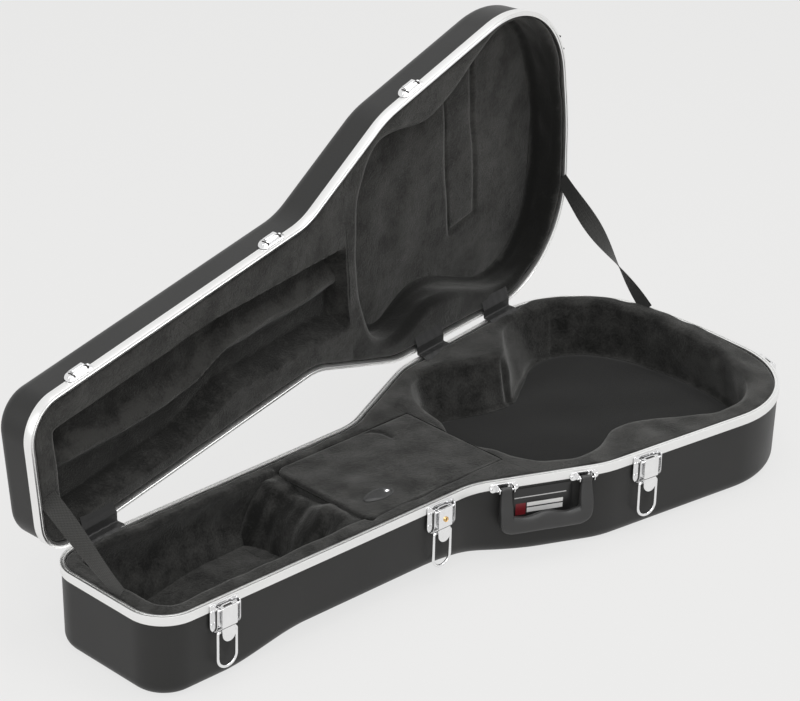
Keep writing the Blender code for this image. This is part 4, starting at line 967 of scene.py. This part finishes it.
WEBBING = finish("black_webbing_weave", {"Roughness": 0.8, "Sheen Weight": 0.15, "Specular IOR Level": 0.3},
                 webbing, "cloth")
for end, station, side_low, side_high, twist, lean_and_painted_light in (("head", 0.0110, -0.012, 0.030, HEAD_TWIST, 0.007),
                                                       ("tail", 1.0828, 0.100, 0.100, math.pi, 0)):
    low = np.array((station - ORIGIN, side_low, FOAM_TOP + TUCK_DEEP))
    high = moved(np.array((station - ORIGIN, side_high, LID_FACE - TUCK_DEEP)), OPEN)
    heading = (high - low) / np.linalg.norm(high - low)
    first, last = low - heading * TUCK, high + heading * TUCK
    length = np.linalg.norm(last - first)
    wide = np.cross(last - first, (1, 0, 0))
    wide /= np.linalg.norm(wide)
    thick = np.cross(wide, heading)

    def section(t):
        """The strap's middle line, and the ways across and through it, at parts of its length: it leans over
        and turns by degrees."""
        part = smooth(t)[:, None]
        cos, sin = np.cos(twist * part), np.sin(twist * part)
        middle = first + (last - first) * t[:, None] + np.array((lean_and_painted_light, 0, 0)) * part
        return middle, wide * cos + thick * sin, thick * cos - wide * sin

    middle, w, h = section(np.linspace(0, 1, STRAP_RINGS))
    x, y = circle(STRAP_ROUND).T
    x = np.sign(x) * np.abs(x) ** 0.5 * STRAP_WIDE / 2
    grid = middle[:, None] + w[:, None] * x[:, None] + h[:, None] * y[:, None] * STRAP_THICK / 2
    strap = surface(f"stay_strap_{end}_webbing", capped(grid), WEBBING)
    places = vertices(strap, SHUT)
    far = np.clip((places - first) @ heading / length, 0, 1)
    middle, w, h = section(far)
    across = ((places - middle) * w).sum(1) / STRAP_WIDE + 0.5
    chart(strap, "cloth", np.column_stack([across, far * length * 1000]))
    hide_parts(f"stay_strap_{end}")
    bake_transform(strap)


# Latches: pressed plates riveted below the rim, each with two cheeks that carry a lever, and on the lever a
# wire bail that reaches over the hooked catch on the lid. All the metal is chrome-plated steel; thin dark
# sheets in the lever's gaps and in the catch's plates are painted shadow.
FACE_ON = np.array([(1, 0, 0), (0, 0, 1), (0, -1, 0)], float)
SIDE_ON = np.array([(0, -1, 0), (0, 0, 1), (1, 0, 0)], float)
PLATE_FRONT, LEVER_BACK, LEVER_FRONT, CHEEK, LEVER_HALF = 0.0017, 0.0090, 0.0118, 0.0173, 0.0120


def fitting(joint, out_by, down_by):
    """A fitting's frame, from its hinge: x along the wall to the tail, y into the case, z up from the rim."""
    found = [j for j in frame["joints"] if j["name"] == joint][0]
    x = -np.array(found["axis"], float)
    made = np.eye(4)
    made[:3, :3] = np.column_stack([x, np.cross((0, 0, 1), x), (0, 0, 1)])
    made[:3, 3] = np.array(found["pos_m"]) - made[:3, :3] @ np.array((0, -out_by, -down_by))
    return made


def pressing(outline, low, high, edge, way=FACE_ON, dish=0.0):
    """A plate cut to an outline, between two depths, with its edges rounded and its face raised by a dish."""
    bevel = ((edge, 0), (0.3 * edge, 0.3 * edge), (0, edge))
    inward = inwards(outline)
    grid = [raised(drawn(outline, 0), low)]
    grid += [raised(outline + inward * inset, low + up) for inset, up in bevel]
    grid += [raised(outline + inward * inset, high - up) for inset, up in bevel[::-1]]
    grid += [raised(drawn(outline + inward * edge, part), high + dish * (1 - part ** 2))
             for part in (0.8, 0.6, 0.4, 0.2, 0.0)]
    return np.array(grid) @ way


def slab(low, high, radius, back, front, edge, way=FACE_ON, count=160):
    """A rectangular plate with rounded corners, between two depths."""
    return pressing(oblong(low, high, radius, count), back, front, edge, way)


def rivet(x, z, depth, radius=0.0019, height=0.0011):
    """A domed rivet head on a face at a depth."""
    a = np.linspace(0, math.pi / 2, 6)
    profile = [(0, -0.0004), (radius, -0.0004)] + list(zip(radius * np.cos(a), height * np.sin(a)))
    profile[-1] = (0, height)
    return turned((x, z, depth), profile) @ FACE_ON


def wire(path, radius, count=14):
    """A round wire along a path in a plane of constant depth: circles square to the path."""
    path = np.array(path, float)
    closed = np.allclose(path[0], path[-1])
    step = np.gradient(path, axis=0)
    if closed:
        step[[0, -1]] = path[1] - path[-2]
    square = np.cross(step / np.linalg.norm(step, axis=1)[:, None], (0, 1, 0))
    square /= np.linalg.norm(square, axis=1)[:, None]
    x, y = circle(count).T[..., None]
    rings = path[:, None] + radius * (square[:, None] * x + np.array((0, 1, 0)) * y)
    return rings if closed else capped(rings)


def u_shape(half, top, foot, corner):
    """A loop with a round foot and small corners at its top, as x and z, closed."""
    a, b = np.linspace(math.pi, 2 * math.pi, 40), np.linspace(0, math.pi / 2, 8)
    arc = np.column_stack([half * np.cos(a), foot + half + half * np.sin(a)])
    right = np.column_stack([half - corner + corner * np.cos(b), top - corner + corner * np.sin(b)])
    return np.vstack([arc, right, (right * (-1, 1))[::-1], arc[:1]])


def tongue(half, top, foot):
    """A blade's outline: square at the top, round at its foot, run clockwise."""
    a = np.linspace(0, -math.pi, 30)
    arc = np.column_stack([half * np.cos(a), foot + half + half * np.sin(a)])
    return spread(np.vstack([[(0, top)], [(half, top)], arc, [(-half, top)]]), 120)


def catch_outline():
    """The catch's plate: straight along the rim and a half ellipse above it, run clockwise."""
    a = np.linspace(math.pi, 0, 40)
    arc = np.column_stack([0.0215 * np.cos(a), 0.0100 + 0.0130 * np.sin(a)])
    foot = np.array([(-0.0165, 0.0022), (-0.0205, 0.0055)])
    return spread(np.vstack([[(0, 0.0022)], foot, arc, foot[::-1] * (-1, 1)]), 160)


def shadowed(place):
    """Painted shadow for the thin dark sheets in small gaps and slots."""
    return {"Base Color": place.noise(500.0).blend((0.01, 0.009, 0.008), (0.02, 0.018, 0.016))}


SHADOW = finish("opening_shadow", {"Roughness": 0.6}, shadowed)
plate_shape = rounded([(0, -0.042), (-0.0228, -0.042), (-0.0228, -0.002), (0.0228, -0.002), (0.0228, -0.042),
                       (0, -0.042)], [0.011, 0.003, 0.003, 0.011], 10)
cheek_shape = rounded([(0.004, -0.004), (0.0100, -0.004), (0.0100, -0.030), (0.0075, -0.036),
                       (0.0010, -0.036), (0.0010, -0.004), (0.004, -0.004)],
                      [0.002, 0.003, 0.003, 0.0002, 0.0002], 7)
plate = pressing(spread(plate_shape[:-1], 160), 0.0005, PLATE_FRONT, 0.0003)
rivets = [rivet(x, z, PLATE_FRONT) for x in (-0.0204, 0.0204) for z in (-0.012, -0.029)]
cheeks = [pressing(spread(cheek_shape[:-1], 110), near, near + 0.0012, 0.0003, SIDE_ON)
          for near in (-CHEEK - 0.0012, CHEEK)]
lever_parts = [slab((-LEVER_HALF, -0.0338), (LEVER_HALF, -0.0062), 0.0012, LEVER_BACK, LEVER_FRONT, 0.0005)]
lever_lip = pressing(tongue(0.0103, -0.0350, -0.0548), 0.0086, 0.0103, 0.0006)
lever_lip[..., 1] -= 0.0008 * np.clip((-0.035 - lever_lip[..., 2]) / 0.019, 0, 1) ** 2
lever_parts += [lever_lip, wire([(x, -0.0075, -0.0100) for x in (-0.0170, 0.0170)], 0.0015)]
lever_parts += [slab((0.0034, -0.0325), (0.0096, -0.0064), 0.0012, a, b, 0.0003, SIDE_ON)
                for a, b in ((-LEVER_HALF, -0.0108), (0.0108, LEVER_HALF))]
lever_parts += [slab((a, -0.0076), (b, -0.0062), 0.0003, 0.0030, front, 0.0002) for a, b, front in
                ((-0.0119, -0.0070, 0.0100), (0.0070, 0.0119, 0.0100), (-0.0119, 0.0119, 0.0050))]
lever_parts.append(slab((-0.0085, -0.0400), (0.0085, -0.0300), 0.0010, 0.0084, 0.0094, 0.0002))
# Painted shadow: dark strips in the gap between the lever's box and its tongue, and in the slot across the
# top of the box.
painted_shadow_strips = [slab((-0.0108, -0.0354), (0.0108, -0.0334), 0.0008, 0.0094, 0.0106, 0.0002, count=60),
            slab((-0.0066, -0.0078), (0.0066, -0.0064), 0.0006, 0.0052, 0.0096, 0.0002, count=60)]
bail_loop = wire(np.insert(u_shape(0.0146, -0.041, -0.0915, 0.003), 1, -0.0058, axis=1), 0.0020)
hook = rounded([(0.0008, 0.0093), (0.0078, 0.0093), (0.0078, 0.0152)], [0.0014], 6)
catch_parts = [pressing(catch_outline(), 0.0005, 0.0016, 0.0005, dish=0.0058),
               bent(hook, 0.0015, -0.0105, 0.0105) * (1, -1, 1)]
catch_parts += [rivet(x, 0.0100, 0.0042, 0.0019, 0.0008) for x in (-0.0160, 0.0160)]
# Painted shadow: two dark slits in the catch's plate, one at each end of its hook.
painted_shadow_slits = [slab((x, 0.0035), (x + 0.0016, 0.0150), 0.0007, 0.0012, 0.0060, 0.0001, count=60)
          for x in (-0.0128, 0.0112)]
for number in range(1, 5):
    at = fitting(f"lever_{number}_hinge", 0.0075, 0.0100)
    on_lid = OPEN @ at
    belong(surface(f"latch_base_{number}", [plate] + rivets + cheeks, CHROME, at), "base", "chrome",
           f"latch_plate_{number}")
    belong(surface(f"latch_arm_{number}", lever_parts, CHROME, at), f"lever_{number}", "chrome",
           f"latch_lever_{number}")
    belong(surface(f"latch_crease_shadows_{number}", painted_shadow_strips, SHADOW, at), f"lever_{number}", "chrome")
    belong(surface(f"latch_wire_{number}", bail_loop, CHROME, at), f"bail_{number}", "chrome",
           f"latch_bail_{number}")
    belong(surface(f"catch_{number}", catch_parts, CHROME, on_lid), "lid", "chrome", f"catch_plate_{number}")
    belong(surface(f"catch_slit_shadows_{number}", painted_shadow_slits, SHADOW, on_lid), "lid", "chrome")


# Key lock: a brass cylinder face in the second lever, with its rim, a dished middle and a flat key's slot.
# The slot is a thin dark sheet of painted shadow.
def brassy(place):
    """Brass with faint wear in its gloss."""
    return {"Roughness": place.noise(300.0) * 0.2 + 0.2}


BRASS = finish("lock_brass", {"Metallic": 1.0, "Base Color": (0.72, 0.47, 0.20, 1)}, brassy)
at = fitting("lever_2_hinge", 0.0075, 0.0100)
face = turned((0, -0.022, LEVER_FRONT), [
    (0, -0.001), (0.0036, -0.001), (0.0036, 0.0012), (0.0033, 0.0015), (0.0029, 0.0015), (0.0026, 0.0010),
    (0.0012, 0.0008), (0, 0.0008)], 36)
belong(surface("lock_face", face @ FACE_ON, BRASS, at), "lock", "brass", "lock_cylinder")
# Painted shadow: a thin dark sheet stands for the key's slot.
keyway_shadow = slab((-0.0005, -0.0240), (0.0005, -0.0200), 0.0004, 0.0122, 0.01275, 0.0001, count=60)
belong(surface("lock_keyway_shadow", keyway_shadow, SHADOW, at), "lock", "brass")


# Handle: one black moulding, two flat legs run into a finger-shaped grip, hung on pins in two chrome brackets
# that are riveted below the rim.
HANDLE_HALF, HANDLE_FOOT, HANDLE_ROUND = 0.0555, -0.074, 40
HANDLE_END, PIN_OUT, PIN_DOWN, GRIP_OUT = HANDLE_HALF + 0.0090, -0.0090, -0.0095, -0.0115
at = fitting("handle_hinge", -PIN_OUT, -PIN_DOWN)
ear = rounded([(0.0010, -0.0095), (0.0010, -0.0048), (0.0132, -0.0048), (0.0132, -0.0142),
               (0.0010, -0.0142), (0.0010, -0.0095)], [0.0003, 0.0040, 0.0040, 0.0003], 8)
ear = spread(ear[:-1], 100)


def moulded(place):
    """Black moulding: a fine spark-eroded grain over slow patches that are a little darker and rougher."""
    broad = place.noise(45.0)
    return {"Base Color": broad.blend((0.034, 0.034, 0.034), (0.024, 0.024, 0.024)),
            "Roughness": broad * 0.15 + 0.38, "Normal": place.noise(1400.0).bump(0.2, 0.0002)}


MOULDING = finish("black_moulding_grain", {"Specular IOR Level": 0.5}, moulded)
grip = []
for number, x in ((1, -HANDLE_HALF), (2, HANDLE_HALF)):
    grids = [slab((x - 0.0200, -0.0155), (x + 0.0200, -0.0035), 0.0052, 0.0005, PLATE_FRONT, 0.0003)]
    grids += [pressing(ear, x + a, x + b, 0.0003, SIDE_ON) for a, b in ((-0.0109, -0.0097), (0.0097, 0.0109))]
    grids += [rivet(x + s * 0.0176, PIN_DOWN, PLATE_FRONT) for s in (-1, 1)]
    grids.append(wire([(x + a, PIN_OUT, PIN_DOWN) for a in (-0.0118, 0.0118)], 0.0012))
    belong(surface(f"handle_mount_{number}", grids, CHROME, at), "base", "chrome", f"handle_bracket_{number}")

    shape = [(x, -0.0058), (x + 0.0066, -0.0058), (x + 0.0090, -0.036), (x + 0.0090, -0.058),
             (x - 0.0090, -0.058), (x - 0.0090, -0.036), (x - 0.0066, -0.0058), (x, -0.0058)]
    leg = spread(rounded(shape, [0.0015, 0.03, 0.008, 0.008, 0.03, 0.0015], 6)[:-1], 140)
    leg = pressing(leg, 0.0060, 0.0120, 0.0016)
    leg[..., 1] -= 0.0055 * smooth((-leg[..., 1] - 0.006) / 0.006) * smooth((-0.014 - leg[..., 2]) / 0.036)
    grip += [leg, wire([(x + a, PIN_OUT, PIN_DOWN) for a in (-0.0074, 0.0074)], 0.0040, 24)]

xs = HANDLE_END * np.sin(np.linspace(-math.pi / 2, math.pi / 2, 110))
to_end = np.abs(xs) - HANDLE_END
swell = np.sqrt(np.clip(1 - (np.clip(to_end + 0.0050, 0, None) / 0.0051) ** 2, 0, 1))
corner = np.sqrt(np.clip(1 - (np.clip(to_end + 0.0200, 0, None) / 0.0205) ** 2, 0, 1))
crown = -0.0490 + 0.0024 * np.cos(2 * math.pi * xs / HANDLE_HALF)
keel = HANDLE_FOOT + 0.0190 * (1 - corner)
middle, tall = (crown + keel) / 2, (crown - keel) / 2 * (0.35 + 0.65 * swell)
x, y = (np.sign(c) * np.abs(c) ** 0.85 for c in circle(HANDLE_ROUND).T)
bar = np.stack([np.repeat(xs[:, None], HANDLE_ROUND, 1), GRIP_OUT - 0.0070 * (0.4 + 0.6 * swell)[:, None] * x,
                middle[:, None] + tall[:, None] * y], axis=-1)
raw = surface("raw_handle", grip + [capped(bar)], MOULDING)
fuse = raw.modifiers.new("fuse", "REMESH")
fuse.mode, fuse.voxel_size = "VOXEL", 0.0009
ease = raw.modifiers.new("ease", "SMOOTH")
ease.factor, ease.iterations = 0.6, 8
mesh = bpy.data.meshes.new_from_object(raw.evaluated_get(bpy.context.evaluated_depsgraph_get()))
bpy.data.objects.remove(raw, do_unlink=True)
mesh.transform(Matrix(at))
mesh.polygons.foreach_set("use_smooth", np.ones(len(mesh.polygons), bool))
mesh.materials.clear()
mesh.materials.append(MOULDING)
handle = bpy.data.objects.new("handle_moulding", mesh)
scene.collection.objects.link(handle)
belong(handle, "handle", "black_moulding", "handle_grip")


# Label: a thin glossy panel stuck on the wall behind the handle. It is bare, with a plain silver line,
# a plain red block and two plain white bars.
LABEL_LOW, LABEL_HIGH = np.array((-0.041, -0.063)), np.array((0.041, -0.017))
SILVER_LINE, RED_BLOCK = (0.02, 0.897, 0.70, 0.73), (0.045, 0.216, 0.16, 0.53)
WHITE_BARS = (0.237, 0.846, 0.402, 0.525), (0.237, 0.846, 0.215, 0.362)


def bands(place):
    """Plain bands in the label's own map, each a box with sharp sides."""
    x, y = place.split()

    def box_mask(x0, x1, y0, y1):
        """1 inside a box and 0 outside it."""
        return (x.maths("GREATER_THAN", x, x0) * x.maths("LESS_THAN", x, x1)
                * y.maths("GREATER_THAN", y, y0) * y.maths("LESS_THAN", y, y1))

    tone = box_mask(*SILVER_LINE).blend((0.016, 0.016, 0.016), (0.55, 0.55, 0.55))
    tone = box_mask(*RED_BLOCK).blend(tone, (0.17, 0.012, 0.017))
    white = box_mask(*WHITE_BARS[0]) + box_mask(*WHITE_BARS[1])
    return {"Base Color": white.blend(tone, (0.78, 0.78, 0.77))}


LABEL = finish("label_film", {"Roughness": 0.32}, bands, "print")
film = slab(LABEL_LOW, LABEL_HIGH, 0.0015, 0.0000, 0.0004, 0.0001)
film[..., 1] += 0.0016 + 0.002 * (-film[..., 2] - 0.0024) / 0.0941 - 0.0003
label = surface("label_panel", film, LABEL, at)
chart(label, "print", (vertices(label, at)[:, [0, 2]] - LABEL_LOW) / (LABEL_HIGH - LABEL_LOW))
belong(label, "base", "label", "label")
